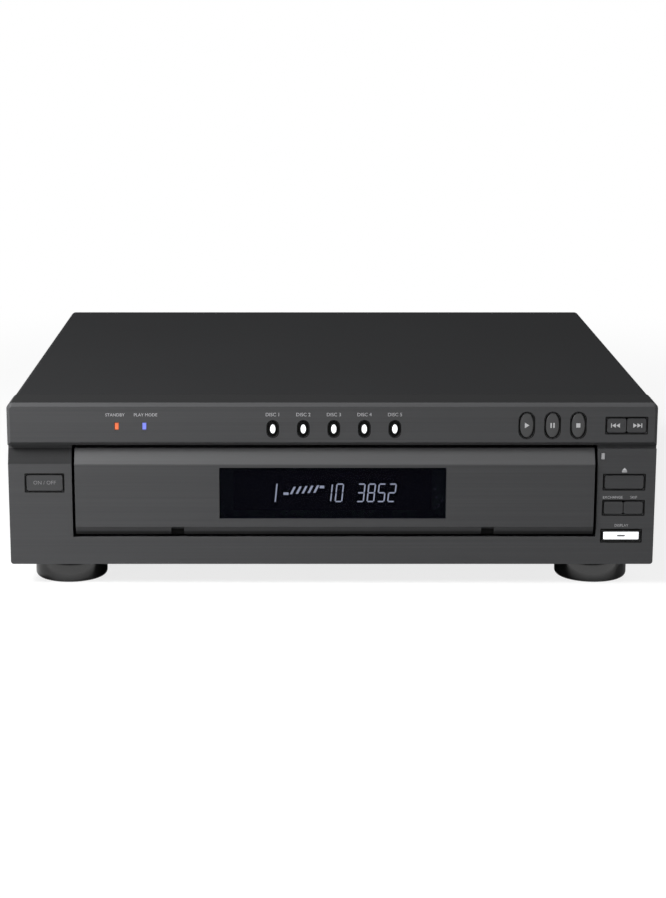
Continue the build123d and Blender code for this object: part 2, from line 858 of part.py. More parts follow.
# Carousel: a slotted floor with the hub gear under it
slot_length = carousel_radius + 2 * well_slot_corner - well_slot_start
with BuildPart() as carousel:
    with BuildSketch(level(carousel_bottom)):
        with Locations((drawer_x, carousel_y)):
            Circle(carousel_radius)
    extrude(amount=disc_floor_z - carousel_bottom)
    with BuildSketch(level(carousel_bottom)):
        with Locations((drawer_x, carousel_y)):
            with PolarLocations(well_slot_start + slot_length / 2, disc_count, start_angle=90):
                Rectangle(slot_length, well_slot_width)
        chamfer(vertices(), well_slot_corner)
    extrude(amount=disc_floor_z - carousel_bottom, mode=Mode.SUBTRACT)
    with BuildSketch(level(hub_gear_bottom)):
        with Locations((drawer_x, carousel_y)):
            Polygon(*gear_outline(hub_gear_teeth, 0), align=None)
    extrude(amount=gear_thickness)
    # bore for the post
    with BuildSketch(level(hub_gear_bottom)):
        with Locations((drawer_x, carousel_y)):
            Circle(carousel_bore)
    extrude(amount=disc_floor_z - hub_gear_bottom, mode=Mode.SUBTRACT)
save(carousel, "carousel")

# The layer on top of it, with the round wells, open at the slots, and a raised boss
with BuildPart() as carousel_wells:
    with BuildSketch(level(disc_floor_z)):
        with Locations((drawer_x, carousel_y)):
            Circle(carousel_radius)
            with PolarLocations(disc_well_circle, disc_count, start_angle=90):
                Circle(disc_well_diameter / 2, mode=Mode.SUBTRACT)
            with PolarLocations(well_slot_start + slot_length / 2, disc_count, start_angle=90):
                Rectangle(slot_length, well_slot_width, mode=Mode.SUBTRACT)
    extrude(amount=disc_well_depth)
    with BuildSketch(level(carousel_top)):
        with Locations((drawer_x, carousel_y)):
            Circle(carousel_boss_radius)
    extrude(amount=carousel_boss_height)
save(carousel_wells, "carousel_wells")

# Carousel motor under the tray floor, a can with two flats, and its pinion above
with BuildPart() as carousel_motor:
    with BuildSketch(level(tray_bottom)):
        with Locations((carousel_pinion_x, carousel_y)):
            Circle(motor_radius)
            Rectangle(2 * motor_radius, motor_flat_width, mode=Mode.INTERSECT)
    extrude(amount=-motor_height)
save(carousel_motor, "carousel_motor")

with BuildPart() as carousel_pinion:
    with BuildSketch(level(tray_floor_top + loose_gap)):
        with Locations((carousel_pinion_x, carousel_y)):
            Polygon(*gear_outline(pinion_teeth, 180 / pinion_teeth), align=None)
    extrude(amount=carousel_bottom - tray_floor_top - 2 * loose_gap)
save(carousel_pinion, "carousel_pinion")

# Mechanism frame
with BuildPart() as mech_frame:
    frame_middle_y = (frame_front_y + frame_rear_y) / 2
    frame_length = frame_rear_y - frame_front_y
    # side walls
    with BuildSketch(level(frame_bottom)):
        with Locations((drawer_x, frame_middle_y)):
            with GridLocations(frame_inner + frame_outer, 0, 2, 1):
                Rectangle(frame_wall, frame_length)
    extrude(amount=frame_top - frame_bottom)
    # rails below and above the tray's tongues
    rail_reach = frame_inner - tray_half_width - slide_gap
    rail_x = frame_inner + tray_half_width + slide_gap
    with BuildSketch(level(tongue_bottom - loose_gap - frame_ledge)):
        with Locations((drawer_x, frame_middle_y)):
            with GridLocations(rail_x, 0, 2, 1):
                Rectangle(rail_reach, frame_length)
    extrude(amount=frame_ledge)
    with BuildSketch(level(tongue_bottom + tongue_height + loose_gap)):
        with Locations((drawer_x, frame_middle_y)):
            with GridLocations(rail_x, 0, 2, 1):
                Rectangle(rail_reach, frame_length)
    extrude(amount=frame_top - tongue_bottom - tongue_height - loose_gap)
    # front plate and rear wall between the sides
    with BuildSketch(level(frame_bottom)):
        with Locations((drawer_x, (frame_front_y + frame_plate_rear_y) / 2)):
            Rectangle(2 * frame_inner, frame_plate_rear_y - frame_front_y)
        with Locations((drawer_x, frame_rear_y - frame_wall / 2)):
            Rectangle(2 * frame_inner, frame_wall)
    extrude(amount=frame_plate)
    with BuildSketch(level(frame_plate_top)):
        with Locations((drawer_x, frame_rear_y - frame_wall / 2)):
            Rectangle(2 * frame_inner, frame_wall)
    extrude(amount=rear_wall_top - frame_plate_top)
    # legs down to the chassis floor
    leg_height = frame_bottom - base_z - chassis_gauge
    with BuildSketch(level(base_z + chassis_gauge)):
        middle_leg_y = carousel_y + middle_leg_from_carousel
        for leg_y in (frame_front_y + frame_leg_depth, middle_leg_y, frame_rear_y - frame_leg_depth / 2):
            with Locations((drawer_x, leg_y)):
                with GridLocations(frame_inner + frame_outer, 0, 2, 1):
                    Rectangle(frame_wall, frame_leg_depth)
    extrude(amount=leg_height)
    # brackets that hold the deck's pivot pins
    bracket_x = deck_half_width + slide_gap + pivot_bracket_thickness / 2
    bracket_front_y = deck_pivot_y - 2 * pivot_pin_radius
    with BuildSketch(level(rear_wall_top - 10)):
        with Locations((drawer_x, (bracket_front_y + frame_rear_y) / 2)):
            with GridLocations(2 * bracket_x, 0, 2, 1):
                Rectangle(pivot_bracket_thickness, frame_rear_y - bracket_front_y)
    extrude(amount=deck_pivot_z + 2 * pivot_pin_radius - rear_wall_top + 10)
    with BuildSketch(Plane.YZ.offset(drawer_x)):
        with Locations((deck_pivot_y, deck_pivot_z)):
            Circle(pivot_pin_radius + loose_gap)
    extrude(amount=bracket_x + pivot_bracket_thickness, both=True, mode=Mode.SUBTRACT)
save(mech_frame, "mech_frame")

# Loading motor under the plate, its gearbox above and the drawer pinion on top
with BuildPart() as loading_motor:
    with BuildSketch(level(frame_bottom)):
        with Locations((drawer_pinion_x, drawer_pinion_y)):
            Circle(motor_radius)
            Rectangle(2 * motor_radius, motor_flat_width, mode=Mode.INTERSECT)
    extrude(amount=-motor_height)
save(loading_motor, "loading_motor")

with BuildPart() as loading_gearbox:
    with BuildSketch(level(frame_plate_top)):
        with Locations((drawer_pinion_x, drawer_pinion_y)):
            Rectangle(gearbox_width, gearbox_depth)
        chamfer(vertices(), 4)
    extrude(amount=rack_bottom - loose_gap - frame_plate_top)
save(loading_gearbox, "loading_gearbox")

with BuildPart() as drawer_pinion:
    with BuildSketch(level(rack_bottom)):
        with Locations((drawer_pinion_x, drawer_pinion_y)):
            Polygon(*gear_outline(pinion_teeth, 180 / pinion_teeth), align=None)
    extrude(amount=rack_height - slide_gap)
save(drawer_pinion, "drawer_pinion")

# Pickup deck and what it carries, drawn on a plane that lies at the lowered angle
deck_plane = Plane(
    origin=(drawer_x, deck_pivot_y, deck_pivot_z),
    x_dir=(1, 0, 0),
    z_dir=(0, -sin(radians(deck_tilt)), cos(radians(deck_tilt))),
)
plate_top = deck_thickness / 2
block_depth = 5.0
slide_front = spindle_local_y + pickup_start - pickup_length / 2
slide_rear = spindle_local_y + pickup_start + pickup_travel + pickup_length / 2
with BuildPart() as pickup_deck:
    with BuildSketch(deck_plane.offset(-plate_top)):
        with Locations((0, (deck_tail - deck_length) / 2)):
            Rectangle(2 * deck_half_width, deck_tail + deck_length)
        # window that the pickup travels in
        window_front = slide_front + 4
        with Locations((0, (window_front + slide_rear) / 2)):
            Rectangle(2 * deck_window_half_width, slide_rear - window_front, mode=Mode.SUBTRACT)
    extrude(amount=deck_thickness)
    # stiffening flanges down both sides
    with BuildSketch(deck_plane.offset(-plate_top)):
        with Locations((0, (deck_tail - deck_length) / 2)):
            with GridLocations(2 * deck_half_width - 2, 0, 2, 1):
                Rectangle(2, deck_tail + deck_length)
    extrude(amount=-5)
    # blocks that hold the guide shafts
    with BuildSketch(deck_plane.offset(plate_top)):
        for block_y in (slide_front - block_depth, slide_rear + block_depth):
            with Locations((0, block_y)):
                with GridLocations(2 * guide_shaft_spread, 0, 2, 1):
                    Rectangle(8, block_depth)
    extrude(amount=guide_shaft_rise - plate_top + guide_shaft_radius + 1.5)
    # pivot pins
    pin_plane = Plane(origin=deck_plane.origin, x_dir=deck_plane.y_dir, z_dir=deck_plane.x_dir)
    with BuildSketch(pin_plane):
        Circle(pivot_pin_radius)
    extrude(amount=deck_half_width + slide_gap + pivot_bracket_thickness, both=True)
save(pickup_deck, "pickup_deck")

# Guide shafts between the blocks
shaft_plane = Plane(
    origin=deck_plane.from_local_coords((0, 0, guide_shaft_rise)),
    x_dir=deck_plane.x_dir,
    z_dir=deck_plane.y_dir,
)
with BuildPart() as guide_shafts:
    with BuildSketch(shaft_plane.offset(slide_front - block_depth / 2)):
        with GridLocations(2 * guide_shaft_spread, 0, 2, 1):
            Circle(guide_shaft_radius)
    extrude(amount=slide_rear - slide_front + block_depth)
save(guide_shafts, "guide_shafts")

# Pickup: a sled that straddles both shafts, with the lens on top
with BuildPart() as pickup:
    pickup_y = spindle_local_y + pickup_start
    sled_bottom = plate_top + loose_gap
    shaft_top = guide_shaft_rise + guide_shaft_radius + loose_gap
    with BuildSketch(deck_plane.offset(sled_bottom)):
        with Locations((0, pickup_y)):
            Rectangle(2 * guide_shaft_spread + 8, pickup_length - 8)
    extrude(amount=shaft_top + 1.5 - sled_bottom)
    with BuildSketch(deck_plane.offset(sled_bottom)):
        with Locations((0, pickup_y)):
            Rectangle(2 * pickup_half_width, pickup_length)
    extrude(amount=pickup_height - lens_height - sled_bottom)
    with BuildSketch(deck_plane.offset(pickup_height - lens_height)):
        with Locations((0, pickup_y)):
            Circle(lens_radius)
    extrude(amount=lens_height)
    # grooves that the shafts run in
    with BuildSketch(deck_plane.offset(sled_bottom)):
        with Locations((0, pickup_y)):
            with GridLocations(2 * guide_shaft_spread, 0, 2, 1):
                Rectangle(2 * (guide_shaft_radius + loose_gap), pickup_length)
    extrude(amount=shaft_top - sled_bottom, mode=Mode.SUBTRACT)
save(pickup, "pickup")

# Spindle motor on the deck, with the turntable on its shaft
seat = plate_top + turntable_rise
with BuildPart() as spindle_motor:
    with BuildSketch(deck_plane.offset(plate_top)):
        with Locations((0, spindle_local_y)):
            Circle(spindle_motor_radius)
    extrude(amount=turntable_rise - turntable_thickness - loose_gap)
save(spindle_motor, "spindle_motor")

with BuildPart() as turntable:
    with BuildSketch(deck_plane.offset(seat - turntable_thickness)):
        with Locations((0, spindle_local_y)):
            Circle(turntable_radius)
    extrude(amount=turntable_thickness)
    with BuildSketch(deck_plane.offset(seat)):
        with Locations((0, spindle_local_y)):
            Circle(turntable_boss_radius)
    extrude(amount=turntable_boss_height)
save(turntable, "turntable")

# Sled motor, a D-shaped can hung under the front of the deck
with BuildPart() as sled_motor:
    sled_motor_plane = Plane(
        origin=deck_plane.from_local_coords((-guide_shaft_spread, 4 - deck_length, -plate_top)),
        x_dir=-deck_plane.z_dir,
        z_dir=deck_plane.y_dir,
    )
    with BuildSketch(sled_motor_plane):
        with Locations((sled_motor_radius, 0)):
            Circle(sled_motor_radius)
        with Locations((sled_motor_radius / 2, 0)):
            Rectangle(sled_motor_radius, 2 * sled_motor_radius)
    extrude(amount=sled_motor_length)
save(sled_motor, "sled_motor")

# Clamp bridge across the frame, above the play position
with BuildPart() as clamp_bridge:
    with BuildSketch(facing(spindle_y - bridge_width / 2)):
        with BuildLine():
            Polyline(
                (drawer_x - frame_outer, frame_top),
                (drawer_x - frame_outer, bridge_bottom + bridge_gauge),
                (drawer_x + frame_outer, bridge_bottom + bridge_gauge),
                (drawer_x + frame_outer, frame_top),
                (drawer_x + frame_inner, frame_top),
                (drawer_x + frame_inner, bridge_bottom),
                (drawer_x - frame_inner, bridge_bottom),
                (drawer_x - frame_inner, frame_top),
                close=True,
            )
        make_face()
    extrude(amount=-bridge_width)
    # flanges that stiffen the beam
    with BuildSketch(level(bridge_bottom + bridge_gauge)):
        with Locations((drawer_x, spindle_y)):
            with GridLocations(0, bridge_width - bridge_gauge, 1, 2):
                Rectangle(2 * frame_outer, bridge_gauge)
    extrude(amount=bridge_flange)
    with Locations((drawer_x, spindle_y, bridge_bottom + bridge_gauge)):
        Hole(clamp_neck_radius + 0.8, depth=bridge_gauge)
save(clamp_bridge, "clamp_bridge")

with BuildPart() as clamp_pulley:
    with BuildSketch(level(clamp_bottom)):
        with Locations((drawer_x, spindle_y)):
            RegularPolygon(clamp_neck_radius, clamp_sides)
    extrude(amount=bridge_bottom + bridge_gauge + loose_gap - clamp_bottom)
    with BuildSketch(level(bridge_bottom + bridge_gauge + loose_gap)):
        with Locations((drawer_x, spindle_y)):
            RegularPolygon(clamp_flange_radius, clamp_sides)
    extrude(amount=clamp_flange_thickness)
save(clamp_pulley, "clamp_pulley")

# Base chassis: a folded steel floor with its flanges, standoffs and vents
cover_half_width = half_width - cover_inset
chassis_half_width = cover_half_width - cover_gauge - loose_gap
chassis_front_y = seam_y + loose_gap
chassis_rear_y = back_y - chassis_gauge - loose_gap
chassis_middle_y = (chassis_front_y + chassis_rear_y) / 2
chassis_length = chassis_rear_y - chassis_front_y
floor_z = base_z + chassis_gauge
board_z = floor_z + board_height
board_rear_y = chassis_rear_y - board_rear_gap
main_board_right = half_width - main_board_inset
main_board_left = main_board_right - main_board_width
main_board_front_y = back_y - main_board_from_back
power_board_left = power_board_inset - half_width
power_board_right = power_board_left + power_board_width
power_board_front_y = back_y - power_board_from_back
power_board_rear_y = back_y - power_board_rear_space
boards = [
    (main_board_left, main_board_right, main_board_front_y, board_rear_y),
    (power_board_left, power_board_right, power_board_front_y, power_board_rear_y),
]
with BuildPart() as base_chassis:
    with BuildSketch(level(base_z)):
        with Locations((0, chassis_middle_y)):
            Rectangle(2 * chassis_half_width, chassis_length)
    extrude(amount=chassis_gauge)
    with BuildSketch(level(floor_z)):
        with Locations((0, chassis_middle_y)):
            with GridLocations(2 * chassis_half_width - chassis_gauge, 0, 2, 1):
                Rectangle(chassis_gauge, chassis_length)
    extrude(amount=chassis_flange)
    with BuildSketch(level(floor_z)):
        with Locations((0, chassis_front_y + chassis_gauge / 2)):
            Rectangle(2 * chassis_half_width, chassis_gauge)
    extrude(amount=chassis_front_flange)
    # standoffs under the boards
    with BuildSketch(level(floor_z)):
        for left, right, front, rear in boards:
            spread_x = right - left - 2 * standoff_inset_x
            spread_y = rear - front - 2 * standoff_inset_y
            with Locations(((left + right) / 2, (front + rear) / 2)):
                with GridLocations(spread_x, spread_y, 2, 2):
                    Rectangle(standoff_side, standoff_side)
    extrude(amount=board_height)
    # vents in the floor
    with BuildSketch(level(base_z)):
        with Locations((0, carousel_y + floor_slot_from_carousel)):
            with GridLocations(floor_slot_pitch, 0, floor_slot_count, 1):
                Rectangle(floor_slot_width, floor_slot_length)
    extrude(amount=chassis_gauge, mode=Mode.SUBTRACT)
save(base_chassis, "base_chassis")

# Rear panel with its cut-outs
rear_panel_y = back_y - chassis_gauge
rear_panel_top = top_z - cover_gauge - loose_gap
block_bottom = board_z + board_thickness
jack_block_left = main_board_left + jack_block_inset
jack_block_right = jack_block_left + jack_block_width
block_face_bottom = block_bottom + jack_block_lip
block_face_height = jack_block_top - jack_block_lip - block_face_bottom
block_face_z = block_face_bottom + block_face_height / 2
block_face_width = jack_block_right - jack_block_left - 2 * jack_block_lip
block_x = (jack_block_left + jack_block_right) / 2
jack_group_x = jack_block_left + jack_group_inset
digital_socket_x = jack_block_right - digital_socket_inset
inlet_x = inlet_inset - half_width
with BuildPart() as rear_panel:
    with BuildSketch(facing(rear_panel_y)):
        with Locations((0, (base_z + rear_panel_top) / 2)):
            Rectangle(2 * chassis_half_width, rear_panel_top - base_z)
        chamfer(vertices().group_by(Axis.Y)[-1], cover_bend_radius - cover_gauge)
        with Locations((block_x, block_face_z)):
            Rectangle(block_face_width, block_face_height, mode=Mode.SUBTRACT)
        with Locations((inlet_x, inlet_z)):
            Rectangle(inlet_width, inlet_height, mode=Mode.SUBTRACT)
        with Locations((rear_slot_x, top_z - rear_slot_drop)):
            with GridLocations(rear_slot_pitch, 0, rear_slot_count, 1):
                Rectangle(rear_slot_width, rear_slot_height, mode=Mode.SUBTRACT)
    extrude(amount=-chassis_gauge)
save(rear_panel, "rear_panel")

# Top cover: one folded sheet with a row of slots down each side
cover_front_y = seam_y + loose_gap
cover_length = back_y - cover_front_y
with BuildPart() as top_cover:
    with BuildSketch(facing(cover_front_y)):
        with Locations((0, (base_z + top_z) / 2)):
            Rectangle(2 * cover_half_width, body_height)
        fillet(vertices().group_by(Axis.Y)[-1], cover_bend_radius)
    extrude(amount=-cover_length)
    with BuildSketch(facing(cover_front_y)):
        with Locations((0, (base_z + top_z) / 2 - cover_gauge)):
            Rectangle(2 * (cover_half_width - cover_gauge), body_height)
        fillet(vertices().group_by(Axis.Y)[-1], cover_bend_radius - cover_gauge)
    extrude(amount=-cover_length, mode=Mode.SUBTRACT)
    with BuildSketch(Plane.YZ):
        with Locations((back_y - side_slot_from_back, top_z - side_slot_drop)):
            with GridLocations(side_slot_pitch, 0, side_slot_count, 1):
                Rectangle(side_slot_width, side_slot_height)
    extrude(amount=half_width, both=True, mode=Mode.SUBTRACT)
save(top_cover, "top_cover")

# Feet
foot_front_y = front_y + foot_inset
foot_rear_y = back_y - foot_inset
with BuildPart() as feet:
    with BuildSketch(level(0)):
        with Locations((0, (foot_front_y + foot_rear_y) / 2)):
            with GridLocations(foot_spacing, foot_rear_y - foot_front_y, 2, 2):
                Circle(foot_radius)
    extrude(amount=foot_height)
    chamfer(feet.edges().group_by(Axis.Z)[0], foot_chamfer)
save(feet, "feet")

# Main board and what stands on it
parts_z = board_z + board_thickness
main_board_x = (main_board_left + main_board_right) / 2
with BuildPart() as main_board:
    with BuildSketch(level(board_z)):
        with Locations((main_board_x, (main_board_front_y + board_rear_y) / 2)):
            Rectangle(main_board_right - main_board_left, board_rear_y - main_board_front_y)
    extrude(amount=board_thickness)
save(main_board, "main_board")

with BuildPart() as main_board_parts:
    with BuildSketch(level(parts_z)):
        with Locations((main_board_x, main_board_front_y + chip_from_front)):
            with GridLocations(chip_pitch, 0, 2, 1):
                Rectangle(chip_side, chip_side)
        with Locations((main_board_x, main_board_front_y + small_part_from_front)):
            with GridLocations(small_part_pitch, 0, small_part_count, 1):
                Rectangle(small_part_length, small_part_depth)
    extrude(amount=main_part_height)
save(main_board_parts, "main_board_parts")

# Power board with its transformer, reservoir capacitor and heat sink
power_board_x = (power_board_left + power_board_right) / 2
power_board_y = (power_board_front_y + power_board_rear_y) / 2
with BuildPart() as power_board:
    with BuildSketch(level(board_z)):
        with Locations((power_board_x, power_board_y)):
            Rectangle(power_board_right - power_board_left, power_board_rear_y - power_board_front_y)
    extrude(amount=board_thickness)
save(power_board, "power_board")

side_room = chassis_half_width - chassis_gauge + drawer_x - frame_outer
transformer_width = side_room - 2 * transformer_space
transformer_x = chassis_gauge - chassis_half_width + side_room / 2
transformer_y = power_board_front_y + transformer_from_front
with BuildPart() as transformer:
    with BuildSketch(level(parts_z)):
        with Locations((transformer_x, transformer_y)):
            Rectangle(transformer_width - 2 * transformer_core, transformer_length)
    extrude(amount=transformer_height)
    with BuildSketch(level(parts_z + transformer_core)):
        with Locations((transformer_x, transformer_y)):
            Rectangle(transformer_width, transformer_length - 4 * transformer_core)
    extrude(amount=transformer_height - 2 * transformer_core)
save(transformer, "transformer")

heat_sink_x = power_board_left + heat_sink_from_left
heat_sink_y = power_board_front_y + heat_sink_from_front
with BuildPart() as power_board_parts:
    with BuildSketch(level(parts_z)):
        with Locations((transformer_x, power_board_front_y + capacitor_from_front)):
            Circle(capacitor_share * transformer_width / 2)
    extrude(amount=capacitor_height)
    with BuildSketch(level(parts_z)):
        with Locations((heat_sink_x, heat_sink_y)):
            Rectangle(heat_sink_base, heat_sink_length)
        fin_pitch = (heat_sink_length - heat_sink_fin) / (heat_sink_fins - 1)
        with Locations((heat_sink_x + (heat_sink_base + heat_sink_reach) / 2, heat_sink_y)):
            with GridLocations(0, fin_pitch, 1, heat_sink_fins):
                Rectangle(heat_sink_reach, heat_sink_fin)
    extrude(amount=heat_sink_height)
save(power_board_parts, "power_board_parts")

# Socket block on the rear edge of the main board
with BuildPart() as jack_block:
    with BuildSketch(facing(rear_panel_y - jack_block_depth)):
        with Locations((block_x, (block_bottom + jack_block_top) / 2)):
            Rectangle(jack_block_right - jack_block_left, jack_block_top - block_bottom)
    extrude(amount=-jack_block_depth)
    with BuildSketch(facing(rear_panel_y)):
        with Locations((block_x, block_face_z)):
            Rectangle(block_face_width - 2 * loose_gap, block_face_height - 2 * loose_gap)
    extrude(amount=-chassis_gauge)
    # digital socket's square hole
    with BuildSketch(facing(back_y)):
        with Locations((digital_socket_x, jack_group_z)):
            Rectangle(digital_hole_side, digital_hole_side)
    extrude(amount=jack_block_depth - jack_block_lip, mode=Mode.SUBTRACT)
save(jack_block, "jack_block")

with BuildPart() as jack_sleeves:
    with BuildSketch(facing(back_y)):
        with Locations((jack_group_x, jack_group_z)):
            with GridLocations(jack_pitch, 0, jack_count, 1):
                Circle(jack_sleeve_radius)
    extrude(amount=-jack_reach)
save(jack_sleeves, "jack_sleeves")

# Mains inlet with its three flat pins
with BuildPart() as mains_inlet:
    with BuildSketch(facing(back_y - inlet_depth)):
        with Locations((inlet_x, inlet_z)):
            Rectangle(inlet_width - 2 * loose_gap, inlet_height - 2 * loose_gap)
    extrude(amount=-inlet_depth)
    with BuildSketch(facing(back_y)):
        with Locations((inlet_x, inlet_z)):
            Rectangle(inlet_width - 2 * inlet_wall, inlet_height - 2 * inlet_wall)
        chamfer(vertices().group_by(Axis.Y)[-1], inlet_corner)
    extrude(amount=inlet_socket_depth, mode=Mode.SUBTRACT)
    with BuildSketch(facing(back_y - inlet_socket_depth)):
        with Locations((inlet_x, inlet_z - inlet_earth_rise / 2)):
            with GridLocations(inlet_pin_spacing, 0, 2, 1):
                Rectangle(inlet_pin_thickness, inlet_pin_width)
        with Locations((inlet_x, inlet_z + inlet_earth_rise / 2)):
            Rectangle(inlet_pin_thickness, inlet_pin_width)
    extrude(amount=-inlet_pin_length)
save(mains_inlet, "mains_inlet")
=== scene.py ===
import bmesh
import bpy
import numpy as np
from math import cos, pi, radians, sin
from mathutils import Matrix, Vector


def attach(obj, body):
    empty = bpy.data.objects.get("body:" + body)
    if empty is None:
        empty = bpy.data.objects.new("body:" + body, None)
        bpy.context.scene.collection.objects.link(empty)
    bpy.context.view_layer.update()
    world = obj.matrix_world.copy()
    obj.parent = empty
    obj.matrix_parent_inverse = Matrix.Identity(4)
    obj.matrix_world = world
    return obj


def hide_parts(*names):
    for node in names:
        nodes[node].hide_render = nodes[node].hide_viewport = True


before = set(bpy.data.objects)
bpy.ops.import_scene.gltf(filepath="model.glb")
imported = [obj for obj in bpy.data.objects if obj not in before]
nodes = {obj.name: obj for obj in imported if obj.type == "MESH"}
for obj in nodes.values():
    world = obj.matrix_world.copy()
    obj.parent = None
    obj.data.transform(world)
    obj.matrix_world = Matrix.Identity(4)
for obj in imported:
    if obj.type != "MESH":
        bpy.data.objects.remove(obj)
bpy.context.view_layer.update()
print("frame loaded,", len(nodes), "nodes")


mm = 0.001


def nodePoints(name):
    # the corners of a node's mesh, in mm
    return np.array([v.co for v in nodes[name].data.vertices]) / mm


def middleOf(name):
    # the middle of a node's box, in mm
    points = nodePoints(name)
    return (points.min(0) + points.max(0)) / 2


frontY = -201.5          # front of the upper band, in mm
columnY = -199.9         # front of the columns
backY = 193.5            # back of the cover
drawerX = 1.75           # middle of the drawer


def gridFaces(rows, cols, wrap=True):
    # quads between neighbouring rows and columns; with wrap the last column meets the first
    across = np.arange(cols if wrap else cols - 1)[None, :]
    start = np.arange(rows - 1)[:, None] * cols
    a, b = start + across, start + (across + 1) % cols
    return np.stack([a, b, b + cols, a + cols], -1).reshape(-1, 4)


def latheGrid(profile, centre, axis=(0, 0, 1), turns=48):
    # surface of revolution: centre + r(v)(cos u e1 + sin u e2) + h(v) axis
    profile = np.array(profile, float)
    axis = np.array(axis, float) / np.linalg.norm(axis)
    side = np.cross(axis, (0.0, 1.0, 0.0) if abs(axis[1]) < 0.9 else (1.0, 0.0, 0.0))
    side /= np.linalg.norm(side)
    other = np.cross(axis, side)
    u = np.linspace(0, 2 * pi, turns, endpoint=False)
    ring = np.cos(u)[:, None] * side + np.sin(u)[:, None] * other
    out, along = profile[:, 0, None, None], profile[:, 1, None, None]
    return np.array(centre, float) + out * ring[None] + along * axis


def ovalGrid(profile, centre, width, height, turns=40):
    # upright ellipse, its edge moved in by i(v) and back by d(v), with k = 1 - 2 i / w:
    # (x + k w/2 cos u, y + d, z + k h/2 sin u)
    profile = np.array(profile, float)
    u = np.linspace(0, 2 * pi, turns, endpoint=False)
    k = np.clip(1 - 2 * profile[:, 0, None] / width, 0, None)
    x = centre[0] + k * width / 2 * np.cos(u)
    y = centre[1] + profile[:, 1, None] + 0 * u
    z = centre[2] + k * height / 2 * np.sin(u)
    return np.stack([x, y, z], -1)


def ovalRing(centre, width, height, d, turns=64):
    # painted shade: a near-black ring for the shade in the gap around an elliptical key: a border on the
    # panel around the round-ended opening, whose edge is (r cos u, +-(h - w)/2 + r sin u), then a lining from
    # there in to the ellipse (w/2 cos u, h/2 sin u)
    u = np.linspace(0, 2 * pi, turns, endpoint=False) + pi / turns
    end = np.where(np.sin(u) > 0, 1, -1) * (height - width) / 2

    def roundEnded(grow):
        return np.stack([(width / 2 + grow) * np.cos(u), end + (width / 2 + grow) * np.sin(u)], 1)

    ellipse = np.stack([(width / 2 + d["around"]) * np.cos(u), (height / 2 + d["around"]) * np.sin(u)], 1)
    edge, border = roundEnded(d["keyGap"] - d["clear"]), roundEnded(d["keyGap"] + d["border"])
    loops = ((border, -d["proud"]), (edge, -d["proud"]), (edge, d["front"]),
             (ellipse, d["front"] + d["slope"]), (ellipse, d["back"]), (edge, d["back"]),
             (edge, d["behind"]), (border, d["behind"]), (border, -d["proud"]))
    return np.stack([np.insert(loop, 1, depth, axis=1) for loop, depth in loops]) + np.array(centre, float)


def piece(name, parts, body, finish, angle=35):
    # parts are (grid of points, wraps) or (points, faces); all in mm, closed up and turned outwards
    mesh = bpy.data.meshes.new(name)
    points, faces, start = [], [], 0
    for first, second in parts:
        first = np.array(first, float)
        if first.ndim == 3:
            second = gridFaces(first.shape[0], first.shape[1], second).tolist()
            first = first.reshape(-1, 3)
        faces += [[start + i for i in face] for face in second]
        points.append(first)
        start += len(first)
    mesh.from_pydata((np.concatenate(points) * mm).tolist(), [], faces)
    work = bmesh.new()
    work.from_mesh(mesh)
    bmesh.ops.remove_doubles(work, verts=work.verts, dist=1e-7)
    bmesh.ops.recalc_face_normals(work, faces=work.faces)
    work.to_mesh(mesh)
    work.free()
    mesh.shade_smooth()
    mesh.set_sharp_from_angle(angle=radians(angle))
    made = bpy.data.objects.new(name, mesh)
    bpy.context.scene.collection.objects.link(made)
    made.data.materials.append(finish)
    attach(made, body)
    return made


def plate(outline, low, high, axis=1):
    # a flat outline given thickness along one axis: walls (p, low) to (p, high), a face at each end
    outline = np.array(outline, float)
    count = len(outline)
    layers = [np.insert(outline, axis, level, axis=1) for level in (low, high)]
    walls = [[i, (i + 1) % count, count + (i + 1) % count, count + i] for i in range(count)]
    return np.concatenate(layers), walls + [list(range(count)), list(range(count, 2 * count))]


def flatRing(outer, inner, low, high):
    # the ring between two outlines, given thickness along y: one loop round its section
    loops = ((outer, low), (inner, low), (inner, high), (outer, high), (outer, low))
    return np.stack([np.insert(loop, 1, y, axis=1) for loop, y in loops])


def wordMesh(words, size, thickness):
    # lettering in the XY plane, centred, as (points in mm, faces)
    curve = bpy.data.curves.new("words", "FONT")
    curve.body, curve.size = words, size * mm
    curve.align_x, curve.align_y = "CENTER", "CENTER"
    curve.extrude = thickness / 2 * mm
    curve.resolution_u = 3
    holder = bpy.data.objects.new("wordHolder", curve)
    bpy.context.scene.collection.objects.link(holder)
    bpy.context.view_layer.update()
    mesh = bpy.data.meshes.new_from_object(holder)
    bpy.data.objects.remove(holder)
    points = np.array([v.co for v in mesh.vertices]) / mm
    faces = [list(p.vertices) for p in mesh.polygons]
    bpy.data.meshes.remove(mesh)
    return points, faces


def laid(points, place, right, up):
    # place + x right + y up + z (right x up)
    right, up = np.array(right, float), np.array(up, float)
    return np.array(place, float) + points @ np.stack([right, up, np.cross(right, up)])


def lettering(name, lines, body, finish, right=(1, 0, 0), up=(0, 0, 1)):
    # a line is (words, size, (x, y, z) of the middle, thickness) in mm, and may add its own right and up
    parts = []
    for line in lines:
        words, size, place, thickness = line[:4]
        across, upward = line[4:] if len(line) > 4 else (right, up)
        points, faces = wordMesh(words, size, thickness)
        parts.append((laid(points, place, across, upward), faces))
    return piece(name, parts, body, finish)


def inset(outline, distance):
    # each corner moved inwards along the mean of its two edges' normals, for a loop that runs anticlockwise
    edges = np.roll(outline, -1, 0) - outline
    edges /= np.linalg.norm(edges, axis=1)[:, None]
    normals = np.stack([-edges[:, 1], edges[:, 0]], 1)
    mean = normals + np.roll(normals, 1, 0)
    return outline + distance * mean / np.clip((mean * mean).sum(1) / 2, 0.5, None)[:, None]


